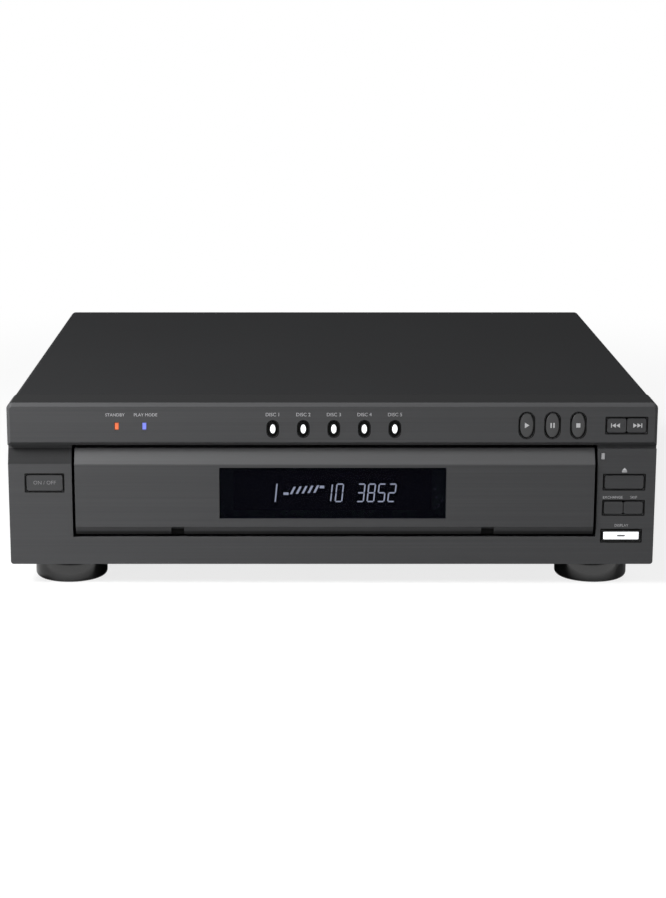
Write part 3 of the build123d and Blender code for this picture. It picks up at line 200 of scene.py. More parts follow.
def softPlate(outline, low, high, bend, axis=1, steps=3):
    # a plate whose high edge is rounded: inset i = b (1 - cos t), height high - b (1 - sin t);
    # one more loop just inside the rounding keeps the shading of the flat face flat
    outline = np.array(outline, float)
    turns = np.linspace(0, pi / 2, steps + 1)
    side = 1 if high > low else -1
    layers = [np.insert(outline, axis, low, axis=1)]
    for t in turns:
        level = high - side * bend * (1 - sin(t))
        layers.append(np.insert(inset(outline, bend * (1 - cos(t))), axis, level, axis=1))
    layers.append(np.insert(inset(outline, bend + 0.08), axis, high, axis=1))
    count, rows = len(outline), len(layers)
    ends = [list(range(count)), list(range((rows - 1) * count, rows * count))]
    return np.concatenate(layers), gridFaces(rows, count).tolist() + ends


class Wire:
    # wraps an output socket; sums, differences and products of wires add Math nodes
    def __init__(self, paint, out):
        self.paint, self.out = paint, out

    def math(self, operation, *others):
        inputs = {i: v for i, v in enumerate((self,) + others)}
        return self.paint.node("ShaderNodeMath", {"operation": operation}, inputs)

    def flipped(self, operation, other):
        return self.paint.node("ShaderNodeMath", {"operation": operation}, {0: other, 1: self})

    def __add__(self, other): return self.math("ADD", other)
    def __sub__(self, other): return self.math("SUBTRACT", other)
    def __mul__(self, other): return self.math("MULTIPLY", other)
    def __radd__(self, other): return self.flipped("ADD", other)
    def __rsub__(self, other): return self.flipped("SUBTRACT", other)
    def __rmul__(self, other): return self.flipped("MULTIPLY", other)

    def sibling(self, output):
        # another output of the same node
        return Wire(self.paint, self.out.node.outputs[output])

    def above(self, level, width):
        # 0 below the level, 1 above it, with a soft step of that width
        return self.paint.node("ShaderNodeMapRange", {"interpolation_type": "SMOOTHSTEP"}, {
            "Value": self, "From Min": level - width / 2, "From Max": level + width / 2})


class Paint:
    # the nodes of a new material, or of the world that is handed in
    def __init__(self, name, world=None):
        self.owner = world or bpy.data.materials.new(name)
        self.owner.use_nodes = True
        self.tree = self.owner.node_tree
        self.tree.nodes.clear()

    def node(self, kind, settings, sockets, out=0):
        # settings are set first; a socket takes a value or a wire
        made = self.tree.nodes.new(kind)
        for key, value in settings.items():
            setattr(made, key, value)
        for key, value in sockets.items():
            if isinstance(value, Wire):
                self.tree.links.new(value.out, made.inputs[key])
            else:
                made.inputs[key].default_value = value
        return Wire(self, made.outputs[out]) if len(made.outputs) else None

    def place(self, scale=(1, 1, 1)):
        # object coordinates in metres, stretched
        coords = self.node("ShaderNodeTexCoord", {}, {}, "Object")
        return self.node("ShaderNodeMapping", {}, {"Vector": coords, "Scale": scale})

    def axes(self):
        coords = self.node("ShaderNodeTexCoord", {}, {}, "Object")
        x = self.node("ShaderNodeSeparateXYZ", {}, {"Vector": coords})
        return [x, x.sibling(1), x.sibling(2)]

    def noise(self, scale, detail=3.0, roughness=0.55, stretch=(1, 1, 1)):
        return self.node("ShaderNodeTexNoise", {}, {
            "Vector": self.place(stretch), "Scale": scale, "Detail": detail, "Roughness": roughness})

    def mix(self, mask, low, high):
        # colours from low to high by the mask
        return self.node("ShaderNodeMix", {"data_type": "RGBA"}, {0: mask, 6: low, 7: high}, 2)

    def bump(self, height, distance, strength):
        sockets = {"Height": height, "Distance": distance, "Strength": strength}
        return self.node("ShaderNodeBump", {}, sockets)

    def surface(self, **sockets):
        # the closing shader; numbers and colours that don't vary are set on its own sockets
        names = {"color": "Base Color", "rough": "Roughness", "metal": "Metallic",
                 "spec": "Specular IOR Level", "coat": "Coat Weight", "coatRough": "Coat Roughness",
                 "normal": "Normal", "glow": "Emission Color", "glowStrength": "Emission Strength"}
        shader = self.node("ShaderNodeBsdfPrincipled", {}, {names[k]: v for k, v in sockets.items()})
        self.node("ShaderNodeOutputMaterial", {}, {"Surface": shader})
        return self.owner


def grey(tone, tint=0.0):
    return (tone * (1 - tint * 0.3), tone, tone * (1 + tint), 1)


def dimmed(color, share):
    return tuple(v * share for v in color[:3]) + (1,)


def hairlines(paint, tone, perMetre):
    # fine level lines over broader bands: the lines, and a dark grey that follows both
    lines = paint.noise(1.0, 4.0, 0.7, (2.5, 2.5, perMetre))
    broad = paint.noise(1.0, 2.0, 0.5, (4, 4, 120))
    return lines, paint.mix(lines * 0.7 + broad * 0.3, grey(tone * 0.72, 0.03), grey(tone * 1.3, 0.03))


def brushedPlastic(name, tone, perMetre, spec, rough):
    paint = Paint(name)
    lines, color = hairlines(paint, tone, perMetre)
    return paint.surface(color=color, rough=0.1 * lines + (rough - 0.05), spec=spec,
                         normal=paint.bump(lines, 0.00003, 0.35))


# places on the drawer front, in metres, and how soft each edge is
drawerZones = {"notchShadeTop": (0.0392, 0.0008), "notchShadeFront": (-0.1988, 0.0004), "chinShadeTop": (0.0378, 0.0022),
               "bevelFoot": (0.0832, 0.0006)}


def drawerPlastic(name, tone):
    # hairlines again; the bevel along the top is satin polished; painted shade darkens the bottom edge that
    # turns under, and the notches in it
    paint = Paint(name)
    y, z = paint.axes()[1:]
    lines, color = hairlines(paint, tone, 900)
    # painted shade: almost black in the notch recesses, dark grey on the down-facing bottom edge
    notchShade = (1 - z.above(*drawerZones["notchShadeTop"])) * y.above(*drawerZones["notchShadeFront"])
    chinShade = 1 - z.above(*drawerZones["chinShadeTop"])
    color = paint.mix(chinShade * 0.85, color, grey(0.008, 0.03))
    color = paint.mix(notchShade, color, grey(0.002, 0.03))
    polish = z.above(*drawerZones["bevelFoot"])
    return paint.surface(color=color, rough=0.1 * lines + 0.41, spec=0.06, coat=polish * 0.8, coatRough=0.38,
                         normal=paint.bump(lines, 0.00003, 0.35))


# places on the front panel, in metres, and how soft each edge is
panelZones = {"topFace": (0.1246, 0.0002), "topFront": (-0.1985, 0.002), "coveShadeFoot": (0.0838, 0.0008),
              "coveShadeTop": (0.0938, 0.0004), "coveShadeEnd": (-0.1725, 0.0004), "bandFoot": (0.0936, 0.0003),
              "edgeTop": (0.0952, 0.0018), "bandFront": (-0.2003, 0.0006)}


def fasciaPlastic(name, tone):
    # the same plastic with a darker, finely textured top behind the front edge
    paint = Paint(name)
    x, y, z = paint.axes()
    zone = panelZones
    lines, color = hairlines(paint, tone, 1100)
    grain = paint.noise(2600, 2.0)
    top = z.above(*zone["topFace"]) * y.above(*zone["topFront"])
    color = paint.mix(top * 0.9, color, grey(0.012, 0.03))
    # painted shade darkens the hollow under the left end of the upper band, where the band overhangs it
    coveShade = z.above(*zone["coveShadeFoot"]) * (1 - z.above(*zone["coveShadeTop"])) * (1 - x.above(*zone["coveShadeEnd"]))
    color = paint.mix(coveShade * 0.7, color, grey(0.01, 0.03))
    # and the band's lowest edge rolls under into shade
    under = z.above(*zone["bandFoot"]) * (1 - z.above(*zone["edgeTop"])) * (1 - y.above(*zone["bandFront"]))
    color = paint.mix(under * 0.92, color, grey(0.004, 0.03))
    height = lines * (1 - top) + grain * top
    return paint.surface(color=color, rough=0.1 * lines + 0.12 * top + 0.42, spec=0.06,
                         normal=paint.bump(height, 0.00003, 0.35))


def paintedSteel(name, tone, spec=0.18):
    # fine satin paint with a light orange peel
    paint = Paint(name)
    peel = paint.noise(900, 2.0)
    cloud = paint.noise(6, 3.0)
    grain = paint.noise(4200, 1.0)
    color = paint.mix(cloud * 0.6 + grain * 0.4, grey(tone * 0.84, 0.04), grey(tone * 1.2, 0.04))
    normal = paint.bump(peel * 0.7 + grain * 0.3, 0.00004, 0.4)
    return paint.surface(color=color, rough=0.12 * cloud + 0.42, spec=spec, normal=normal)


def mouldedPlastic(name, tone, tint=0.0, rough=0.55, spec=0.3, grainScale=2600):
    # moulded plastic with a fine spark-eroded grain
    paint = Paint(name)
    grain = paint.noise(grainScale, 2.0)
    cloud = paint.noise(14, 3.0)
    color = paint.mix(cloud, grey(tone * 0.85, tint), grey(tone * 1.15, tint))
    normal = paint.bump(grain, 0.00005, 0.35)
    return paint.surface(color=color, rough=0.12 * grain + (rough - 0.06), spec=spec, normal=normal)


def glossPlastic(name, tone, spec=0.5):
    paint = Paint(name)
    flow = paint.noise(40, 2.0)
    dust = paint.noise(3000, 2.0).above(0.68, 0.08)
    color = paint.mix(dust * 0.3, grey(tone, 0.03), grey(tone * 3 + 0.01, 0.03))
    return paint.surface(color=color, rough=0.1 * dust + 0.1, spec=spec, coat=0.6, coatRough=0.06,
                         normal=paint.bump(flow, 0.00005, 0.2))


def plainPlastic(name, color, rough=0.4, spec=0.4):
    paint = Paint(name)
    grain = paint.noise(1500, 2.0)
    cloud = paint.noise(30, 2.0)
    color = paint.mix(cloud, dimmed(color, 0.86), color)
    return paint.surface(color=color, rough=0.1 * grain + (rough - 0.05), spec=spec,
                         normal=paint.bump(grain, 0.00003, 0.3))


def glowPlastic(name, color, strength):
    # lit translucent plastic, a little brighter in the grain of its diffuser
    paint = Paint(name)
    glow = paint.mix(paint.noise(900, 2.0), dimmed(color, 0.9), color)
    return paint.surface(color=dimmed(color, 0.45), rough=0.25, spec=0.3, glow=glow, glowStrength=strength)


def zincSteel(name, tone=0.5, tint=0.02):
    # plated sheet: soft spangle and a rolled direction
    paint = Paint(name)
    spangle = paint.node("ShaderNodeTexVoronoi", {}, {"Vector": paint.place(), "Scale": 160.0}, "Color")
    rolled = paint.noise(1.0, 3.0, 0.6, (6, 900, 900))
    cloud = paint.noise(18, 3.0)
    level = paint.node("ShaderNodeSeparateColor", {}, {"Color": spangle})
    mask = level * 0.35 + rolled * 0.3 + cloud * 0.35
    color = paint.mix(mask, grey(tone * 0.78, tint), grey(tone * 1.18, tint))
    return paint.surface(color=color, metal=1.0, rough=0.22 * rolled + 0.26,
                         normal=paint.bump(rolled, 0.00002, 0.3))


def turnedMetal(name, color, rough=0.2):
    # plated or turned metal with fine rings of tool marks
    paint = Paint(name)
    fine = paint.noise(1.0, 3.0, 0.6, (500, 500, 2600))
    cloud = paint.noise(60, 3.0)
    color = paint.mix(fine * 0.6 + cloud * 0.4, dimmed(color, 0.8), color)
    return paint.surface(color=color, metal=1.0, rough=0.16 * cloud + rough,
                         normal=paint.bump(fine, 0.00001, 0.25))


def circuitBoard(name):
    # lacquered green board: tracks in a grid with rows left out, and tinned pads
    paint = Paint(name)
    runs = paint.node("ShaderNodeTexVoronoi", {"distance": "MANHATTAN", "feature": "F1"},
                      {"Vector": paint.place(), "Scale": 240.0}, "Distance").above(0.62, 0.1)
    pads = paint.node("ShaderNodeTexVoronoi", {}, {"Vector": paint.place(), "Scale": 330.0}, "Distance")
    pads = 1 - pads.above(0.24, 0.06)
    thin = paint.noise(90, 2.0).above(0.52, 0.04)
    board = paint.mix(runs * thin, (0.02, 0.06, 0.025, 1), (0.05, 0.14, 0.05, 1))
    color = paint.mix(pads * thin, board, (0.55, 0.56, 0.53, 1))
    return paint.surface(color=color, rough=0.35 - 0.1 * pads, metal=pads * thin * 0.8, spec=0.4,
                         normal=paint.bump(runs * 0.5 + pads * thin, 0.00005, 0.5))


def coreSteel(name, sheetGap=0.0007):
    # varnished stack of laminations
    paint = Paint(name)
    y = paint.axes()[1]
    sheets = (y * (2 * pi / sheetGap)).math("SINE") * 0.5 + 0.5
    cloud = paint.noise(80, 3.0)
    color = paint.mix(sheets * 0.5 + cloud * 0.5, (0.05, 0.035, 0.025, 1), (0.16, 0.13, 0.1, 1))
    return paint.surface(color=color, metal=0.6, rough=0.2 * cloud + 0.35,
                         normal=paint.bump(sheets, 0.0001, 0.6))


def smokedWindow(name):
    # polished smoked acrylic: mostly see-through, with a clean gloss
    paint = Paint(name)
    flow = paint.noise(25, 2.0)
    normal = paint.bump(flow, 0.00002, 0.15)
    gloss = paint.node("ShaderNodeBsdfPrincipled", {}, {
        "Base Color": (0.003, 0.003, 0.006, 1), "Roughness": 0.06, "Specular IOR Level": 0.03,
        "Normal": normal})
    clear = paint.node("ShaderNodeBsdfTransparent", {}, {"Color": (0.62, 0.64, 0.72, 1)})
    mixed = paint.node("ShaderNodeMixShader", {}, {0: 0.4, 1: clear, 2: gloss})
    paint.node("ShaderNodeOutputMaterial", {}, {"Surface": mixed})
    return paint.owner


def tubeGlass(name, wireGap=0.0008):
    # dark filter glass of the display tube, with its fine wire mesh
    paint = Paint(name)
    waves = [(axis * (2 * pi / wireGap)).math("SINE") for axis in paint.axes()[::2]]
    wires = (waves[0] * waves[1]).above(0.35, 0.3)
    color = paint.mix(wires, (0.0020, 0.0022, 0.0035, 1), (0.0023, 0.0026, 0.0040, 1))
    return paint.surface(color=color, rough=0.3, spec=0.0)


finishes = {
    "cover": paintedSteel("coverPaint", 0.017, 0.03),
    "rearPaint": paintedSteel("rearPaint", 0.024),
    "fascia": fasciaPlastic("fasciaPlastic", 0.056),
    "drawer": drawerPlastic("drawerPlastic", 0.056),
    "key": brushedPlastic("keyPlastic", 0.05, 1000 / 0.7, 0.1, 0.42),
    "ovalKey": mouldedPlastic("ovalKeyPlastic", 0.046, 0.02, 0.35, 0.4),
    "black": mouldedPlastic("blackPlastic", 0.016),
    # near-black: the own colour of the disc keys' caps, and painted shade in the gaps around the keys
    "edge": mouldedPlastic("capBlackAndGapShade", 0.005, 0.0, 0.6, 0.04),
    "tray": mouldedPlastic("trayPlastic", 0.026, 0.03, 0.5, 0.35, 1800),
    "frame": mouldedPlastic("framePlastic", 0.075, 0.02),
    "gloss": glossPlastic("glossBlack", 0.010),
    "acetal": plainPlastic("naturalAcetal", (0.74, 0.73, 0.66, 1)),
    "zinc": zincSteel("zincPlate"),
    "shaft": turnedMetal("shaftSteel", (0.68, 0.68, 0.7, 1), 0.12),
    "motor": turnedMetal("motorCan", (0.55, 0.55, 0.54, 1), 0.24),
    "nickel": turnedMetal("nickelPlate", (0.72, 0.69, 0.6, 1), 0.14),
    "screw": turnedMetal("screwSteel", (0.05, 0.05, 0.055, 1), 0.3),
    "board": circuitBoard("greenBoard"),
    "core": coreSteel("coreSteel"),
    "sink": turnedMetal("blackSink", (0.05, 0.05, 0.055, 1), 0.35),
    "window": smokedWindow("smokedWindow"),
    "tube": tubeGlass("tubeGlass"),
    "white": glowPlastic("litWhite", (0.96, 0.97, 1.0, 1), 1.1),
    "orange": glowPlastic("litOrange", (0.9, 0.20, 0.08, 1), 0.5),
    "blue": glowPlastic("litBlue", (0.22, 0.26, 0.85, 1), 0.65),
    "digits": glowPlastic("displayGlow", (0.82, 0.84, 0.87, 1), 2.3),
    "print": plainPlastic("paleInk", (0.40, 0.40, 0.41, 1), 0.5, 0.2),
    "dimPrint": plainPlastic("greyInk", (0.2, 0.2, 0.205, 1), 0.5, 0.2),
    "mark": plainPlastic("brightInk", (0.52, 0.52, 0.53, 1), 0.5, 0.2),
    "clear": plainPlastic("clearLens", (0.34, 0.34, 0.35, 1), 0.2, 0.5),
    "lens": glossPlastic("lensGlass", 0.03),
    "whitePlastic": plainPlastic("whitePlastic", (0.75, 0.74, 0.72, 1)),
    "redPlastic": plainPlastic("redPlastic", (0.55, 0.02, 0.02, 1)),
    "redGlow": glowPlastic("redGlow", (1.0, 0.06, 0.03, 1), 0.8),
    "rubber": mouldedPlastic("rubberRing", 0.012, 0.0, 0.8, 0.15),
}
print("finishes made,", len(finishes))

nodeFinish = {
    "front_panel": "fascia", "power_button": "key", "open_close_button": "key", "exchange_button": "key",
    "disc_skip_button": "key", "lit_button": "white", "previous_button": "key", "next_button": "key",
    "orange_lamp": "orange", "blue_lamp": "blue", "clear_lamp": "clear", "tact_switches": "black",
    "key_boards": "board", "drawer_front": "drawer", "display_window": "window", "display_tube": "tube",
    "display_board": "board", "drawer_tray": "tray", "carousel": "tray", "carousel_wells": "tray",
    "carousel_motor": "motor", "carousel_pinion": "acetal", "mech_frame": "frame", "loading_motor": "motor",
    "loading_gearbox": "frame", "drawer_pinion": "acetal", "pickup_deck": "zinc", "guide_shafts": "shaft",
    "pickup": "black", "spindle_motor": "motor", "turntable": "black", "sled_motor": "motor",
    "clamp_bridge": "zinc", "clamp_pulley": "frame", "base_chassis": "zinc", "rear_panel": "rearPaint",
    "top_cover": "cover", "feet": "gloss", "main_board": "board", "main_board_parts": "black",
    "power_board": "board", "transformer": "core", "power_board_parts": "sink", "jack_block": "black",
    "jack_sleeves": "nickel", "mains_inlet": "black",
}
for nodeName, finishName in nodeFinish.items():
    slots = nodes[nodeName].data.materials
    slots.clear()
    slots.append(finishes[finishName])
print("nodes finished,", len(nodeFinish))


# caps of the oval keys; sizes are width and height in mm
ovalCaps = {"edge": 0.5, "dome": 0.21, "recess": 0.3, "depth": 3.0, "playSize": (9.0, 16.6),
            "discSize": (6.4, 10.2)}


def keysAt(names, size):
    # x and z of each key's middle, then its width and height
    return {name: tuple(middleOf(name)[[0, 2]]) + size for name in names}


def keyProfile(width, c):
    # edge rounded by a quarter circle, then a low crown: d = recess - dome (1 - (1 - r)^2), where r is
    # the share of the way from the edge to the middle
    rows = [(0, c["depth"])]
    rows += [(c["edge"] * (1 - cos(t)), c["recess"] + c["edge"] * (1 - sin(t)))
             for t in np.linspace(0, pi / 2, 6)]
    inward = np.linspace(c["edge"], width / 2, 7)[1:]
    share = (inward - c["edge"]) / (width / 2 - c["edge"])
    rows += [(i, c["recess"] - c["dome"] * (1 - (1 - r) ** 2)) for i, r in zip(inward, share)]
    return rows


def ovalCap(name, place, finish, turns):
    x, z, width, height = place
    grid = ovalGrid(keyProfile(width, ovalCaps), (x, frontY, z), width, height, turns)
    cap = piece(name + "Cap", [(grid, True)], name, finishes[finish])
    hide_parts(name)


ovalKeys = keysAt(["play_button", "pause_button", "stop_button"], ovalCaps["playSize"])
discKeys = keysAt(["disc_button_%d" % n for n in range(1, 6)], ovalCaps["discSize"])
for name, place in ovalKeys.items():
    ovalCap(name, place, "ovalKey", 56)

# the disc keys have a lit oval in the middle
discCore = {"width": 3.4, "height": 6.0,
            "profile": [(0, 0.6), (0, 0.14), (0.35, 0.06), (1.0, 0.03), (1.7, 0.02)]}
for name, place in discKeys.items():
    ovalCap(name, place, "edge", 44)
    middle = (place[0], frontY, place[1])
    core = ovalGrid(discCore["profile"], middle, discCore["width"], discCore["height"], 36)
    piece(name + "Core", [(core, True)], name, finishes["white"])

# near-black rings of painted shade in the gaps around the oval and disc keys
ovalRings = {"keyGap": 0.5, "clear": 0.01, "front": 0.2, "slope": 0.25, "back": 2.2, "around": 0.16,
             "border": 0.5, "proud": 0.002, "behind": 0.1}
keyRings = [(ovalRing((x, frontY, z), width, height, ovalRings), True)
            for x, z, width, height in [*ovalKeys.values(), *discKeys.values()]]
piece("ovalKeyGapShade", keyRings, "housing", finishes["edge"])
print("oval keys made,", len(ovalKeys) + len(discKeys))


def roundedOutline(width, height, corner, turns=6):
    # anticlockwise: corner circles joined by straight sides
    points = []
    for k, (sx, sz) in enumerate(((1, 1), (-1, 1), (-1, -1), (1, -1))):
        v = np.linspace(k * pi / 2, (k + 1) * pi / 2, turns)
        points.append(np.stack([sx * (width / 2 - corner) + corner * np.cos(v),
                                sz * (height / 2 - corner) + corner * np.sin(v)], 1))
    return np.concatenate(points)


# the lit key: outlines are width, height and corner; Back and Front are how far each part starts and
# ends behind the column's face
litKey = {"surround": (25.6, 7.1, 0.9), "surroundBack": 3.6, "surroundFront": 0.35, "surroundBend": 0.3,
          "lens": (23.6, 5.2, 0.5), "lensBack": 0.6, "lensFront": 0.3, "lensBend": 0.15}
litMiddle = middleOf("lit_button")


def litPart(name, part, finish):
    outline = roundedOutline(*litKey[part]) + litMiddle[[0, 2]]
    low, high = columnY + litKey[part + "Back"], columnY + litKey[part + "Front"]
    return piece(name, [softPlate(outline, low, high, litKey[part + "Bend"])], "lit_button",
                 finishes[finish])


surround = litPart("litKeySurround", "surround", "black")
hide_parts("lit_button")
litPart("litKeyLens", "lens", "white")

# painted shade: thin near-black rings around the openings of the flat keys, standing for the shade in their
# gaps; a pair of keys shares one
keyGapShade = {"border": 0.75, "gap": 0.5, "depth": 0.3, "corner": 0.6, "faceDepth": 0.8,
          "columnProud": 0.04, "bandProud": 0.002}
keysWithGapShade = {"powerGapShade": ["power_button"], "openGapShade": ["open_close_button"], "litGapShade": ["lit_button"],
              "exchangeGapShade": ["exchange_button", "disc_skip_button"],
              "skipGapShade": ["previous_button", "next_button"]}


def gapShadeFrame(name, keys, front, d):
    # ring from the box of the keys' faces grown by the gap, out to the same box grown by gap and border
    points = np.concatenate([nodePoints(key) for key in keys])
    points = points[points[:, 1] < points[:, 1].min() + d["faceDepth"]]
    low, high = points.min(0)[[0, 2]], points.max(0)[[0, 2]]
    inner, outer = [roundedOutline(*(high - low + 2 * grow), d["corner"]) + (low + high) / 2
                    for grow in (d["gap"], d["gap"] + d["border"])]
    piece(name, [(flatRing(outer, inner, front, front + d["depth"]), True)], "housing",
          finishes["edge"])


for name, keys in keysWithGapShade.items():
    front = frontY - keyGapShade["bandProud"] if name == "skipGapShade" else columnY - keyGapShade["columnProud"]
    gapShadeFrame(name, keys, front, keyGapShade)


def bar(x, z, width, height):
    # corners of a rectangle about (x, z), anticlockwise
    return [(x - width / 2, z - height / 2), (x + width / 2, z - height / 2),
            (x + width / 2, z + height / 2), (x - width / 2, z + height / 2)]


# transport symbols, thin plates on the key faces: outlines in mm about the middle of the key
markFaces = {"oval": frontY + 0.12, "flat": frontY + 0.3, "column": columnY + 0.3, "panel": columnY,
             "proud": 0.05, "sunk": 0.25, "ejectLift": 8.2}
skipArrow = [(1.1, -1.5), (-1.3, 0), (1.1, 1.5)]
leftMarks = [bar(-3.4, 0, 0.6, 3.0)] + [[(x + s, z) for x, z in skipArrow] for s in (-1.6, 1.1)]
rightMarks = [[(-x, z) for x, z in reversed(outline)] for outline in leftMarks]
keyMarks = {
    "playMark": ("play_button", "oval", [[(-1.3, -1.9), (1.7, 0), (-1.3, 1.9)]]),
    "pauseMark": ("pause_button", "oval", [bar(-0.95, 0, 0.9, 3.4), bar(0.95, 0, 0.9, 3.4)]),
    "stopMark": ("stop_button", "oval", [bar(0, 0, 2.7, 2.9)]),
    "previousMark": ("previous_button", "flat", leftMarks),
    "nextMark": ("next_button", "flat", rightMarks),
}
ejectSign = [[(-1.7, -0.4), (1.7, -0.4), (0, 1.6)], bar(0, -1.15, 3.4, 0.6)]


def marks(name, body, finish, middle, face, outlines):
    low, high = markFaces[face] - markFaces["proud"], markFaces[face] + markFaces["sunk"]
    parts = [plate(np.array(outline) + (middle[0], middle[2]), low, high) for outline in outlines]
    return piece(name, parts, body, finishes[finish])


for name, (key, face, outlines) in keyMarks.items():
    marks(name, key, "mark", middleOf(key), face, outlines)
ejectPlace = middleOf("open_close_button") + (0, 0, markFaces["ejectLift"])
marks("ejectMark", "housing", "mark", ejectPlace, "panel", ejectSign)
marks("litKeyMark", "lit_button", "dimPrint", litMiddle, "column", [bar(0, 0, 5.2, 1.3)])

# words and numbers printed beside the keys: a face, then (words, size, x, z) for each line
printing = {"band": frontY + 0.013, "column": columnY - 0.02, "thickness": 0.03, "keyThickness": 0.08}
labels = {
    "discLabels": ("band", [("DISC %d" % n, 3.3, discKeys["disc_button_%d" % n][0], 117.4)
                            for n in range(1, 6)]),
    "lampLabels": ("band", [("STANDBY", 2.9, middleOf("orange_lamp")[0] - 1, 117.2),
                            ("PLAY MODE", 2.9, middleOf("blue_lamp")[0] + 1, 117.2)]),
    "columnLabels": ("column", [("EXCHANGE", 2.5, middleOf("exchange_button")[0] - 0.6, 60.9),
                                ("SKIP", 2.5, middleOf("disc_skip_button")[0], 60.9),
                                ("DISPLAY", 2.5, litMiddle[0], 41.6)]),
}
for name, (face, lines) in labels.items():
    lines = [(words, size, (x, printing[face], z), printing["thickness"]) for words, size, x, z in lines]
    lettering(name, lines, "housing", finishes["print"])
powerPlace = (middleOf("power_button")[0], markFaces["column"], middleOf("power_button")[2])
lettering("powerLabel", [("ON / OFF", 3.6, powerPlace, printing["keyThickness"])],
          "power_button", finishes["dimPrint"])
print("marks and labels made")


# the display: digits are (figure, x), dashes are (x, z, width, height), the stripes climb to the right
display = {"plane": -196.35, "proud": 0.06, "sunk": 0.3, "row": 63.2, "slant": 0.1, "stroke": 0.85,
           "height": 12.8, "width": 5.2, "gap": 0.15,
           "digits": [("1", -2.4), ("0", 5.0), ("3", 19.4), ("8", 26.3), ("5", 33.2), ("2", 40.1)],
           "line": (-37.2, 0.9, 12.4), "dashes": [(-30.6, 62.6, 3.4, 1.7), (-6.6, 67.2, 3.0, 1.7)],
           "stripes": 5, "stripe": (1.5, 5.0), "stripeSlant": 0.5, "stripeStart": (-26.0, 64.8),
           "stripeStep": (3.9, 0.25)}
segmentsOn = {"0": "abcdef", "1": "bc", "2": "abged", "3": "abgcd", "5": "afgcd", "8": "abcdefg"}


def segmentOutline(letter, d):
    # a stroke with pointed ends, from one corner of the figure eight to the next
    s = d["stroke"] / 2
    w, h = d["width"] / 2 - s, d["height"] / 2 - s
    ends = {"a": ((-w, h), (w, h)), "b": ((w, h), (w, 0)), "c": ((w, 0), (w, -h)), "d": ((-w, -h), (w, -h)),
            "e": ((-w, 0), (-w, -h)), "f": ((-w, h), (-w, 0)), "g": ((-w, 0), (w, 0))}[letter]
    a, b = np.array(ends[0], float), np.array(ends[1], float)
    along = (b - a) / np.linalg.norm(b - a)
    side = np.array([-along[1], along[0]]) * s
    a, b = a + along * d["gap"], b - along * d["gap"]
    return np.array([a, a + along * s + side, b - along * s + side, b, b - along * s - side,
                     a + along * s - side])


def lean(outline, slant):
    # (x + slant z, z)
    outline = np.array(outline, float)
    return outline + np.stack([outline[:, 1] * slant, 0 * outline[:, 1]], 1)


figures = [lean(segmentOutline(letter, display), display["slant"]) + (x, display["row"])
           for figure, x in display["digits"] for letter in segmentsOn[figure]]
lineX, lineWidth, lineHeight = display["line"]
figures.append(lean(bar(0, 0, lineWidth, lineHeight), display["slant"]) + (lineX, display["row"]))
for step in range(display["stripes"]):
    place = np.array(display["stripeStart"]) + step * np.array(display["stripeStep"])
    figures.append(lean(bar(0, 0, *display["stripe"]), display["stripeSlant"]) + place)
figures += [bar(*dash) for dash in display["dashes"]]
figurePlates = [plate(outline, display["plane"] - display["proud"], display["plane"] + display["sunk"])
                for outline in figures]
piece("displayFigures", figurePlates, "drawer", finishes["digits"])
print("display made,", len(figures), "segments")


feet = {"radius": 24.3, "height": 15.0, "round": 3.0, "collar": 0.3, "collarHeight": 1.2, "hollow": 0.6,
        "rim": 8.0, "x": (-177.5, 177.5), "y": (-169.5, 161.5)}


def footProfile(f):
    # base with a shallow hollow, quarter round, straight wall, narrow collar under the chassis
    radius, bend, hollow = f["radius"], f["round"], f["hollow"]
    rows = [(0, hollow), (radius - f["rim"], hollow), (radius - f["rim"] + hollow, 0.0)]
    rows += [(radius - bend + bend * cos(t), bend + bend * sin(t)) for t in np.linspace(-pi / 2, 0, 9)]
    z, collar = f["height"] - f["collarHeight"], radius - f["collar"]
    rows += [(radius, z - 0.3), (radius - 0.1, z), (collar, z + 0.1), (collar, f["height"]), (0, f["height"])]
    return rows


feetShells = piece("feetShells", [(latheGrid(footProfile(feet), (x, y, 0), turns=96), True)
                                  for x in feet["x"] for y in feet["y"]],
                   "housing", finishes["gloss"])
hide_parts("feet")
print("feet made")

# the layer with the wells: slot is half the slot's width, dish is the outer and inner radius and the depth
carousel = {"y": -13.0, "radius": 168.0, "floor": 85.0, "top": 88.5, "circle": 104.0, "well": 60.75,
            "slot": 21.0, "edge": 0.25, "boss": 30.0, "bossFoot": 0.5, "bossHeight": 3.0, "bossBend": 1.2,
            "dish": (20.0, 7.5, 0.5), "numberAt": 36.6, "numberSize": 9.0, "numberThickness": 0.1,
            "ring": 40.0, "ringGap": 1.0, "ringProfile": [(-0.4, 0), (-0.2, 0.2), (0.2, 0.2), (0.4, 0)]}
carouselMiddle = np.array((drawerX, carousel["y"], 0))
wellAngles = [pi / 2 + k * 2 * pi / 5 for k in range(5)]


def wellOutline(c):
    # rim arcs between the slots, and for each well the long way round its circle:
    # (x, y) = circle (cos a, sin a) + well (cos(a + v), sin(a + v)), v from -v0 to v0 - 2 pi
    rimStep = np.arcsin(c["slot"] / c["radius"])
    wellStep = np.arcsin(c["slot"] / c["well"])
    points = []
    for a in wellAngles:
        v = a - np.linspace(wellStep, 2 * pi - wellStep, 72)
        points.append(np.stack([c["circle"] * cos(a) + c["well"] * np.cos(v),
                                c["circle"] * sin(a) + c["well"] * np.sin(v)], 1))
        rim = np.linspace(a + rimStep, a + 2 * pi / 5 - rimStep, 40)
        points.append(c["radius"] * np.stack([np.cos(rim), np.sin(rim)], 1))
    return np.concatenate(points) + carouselMiddle[:2]


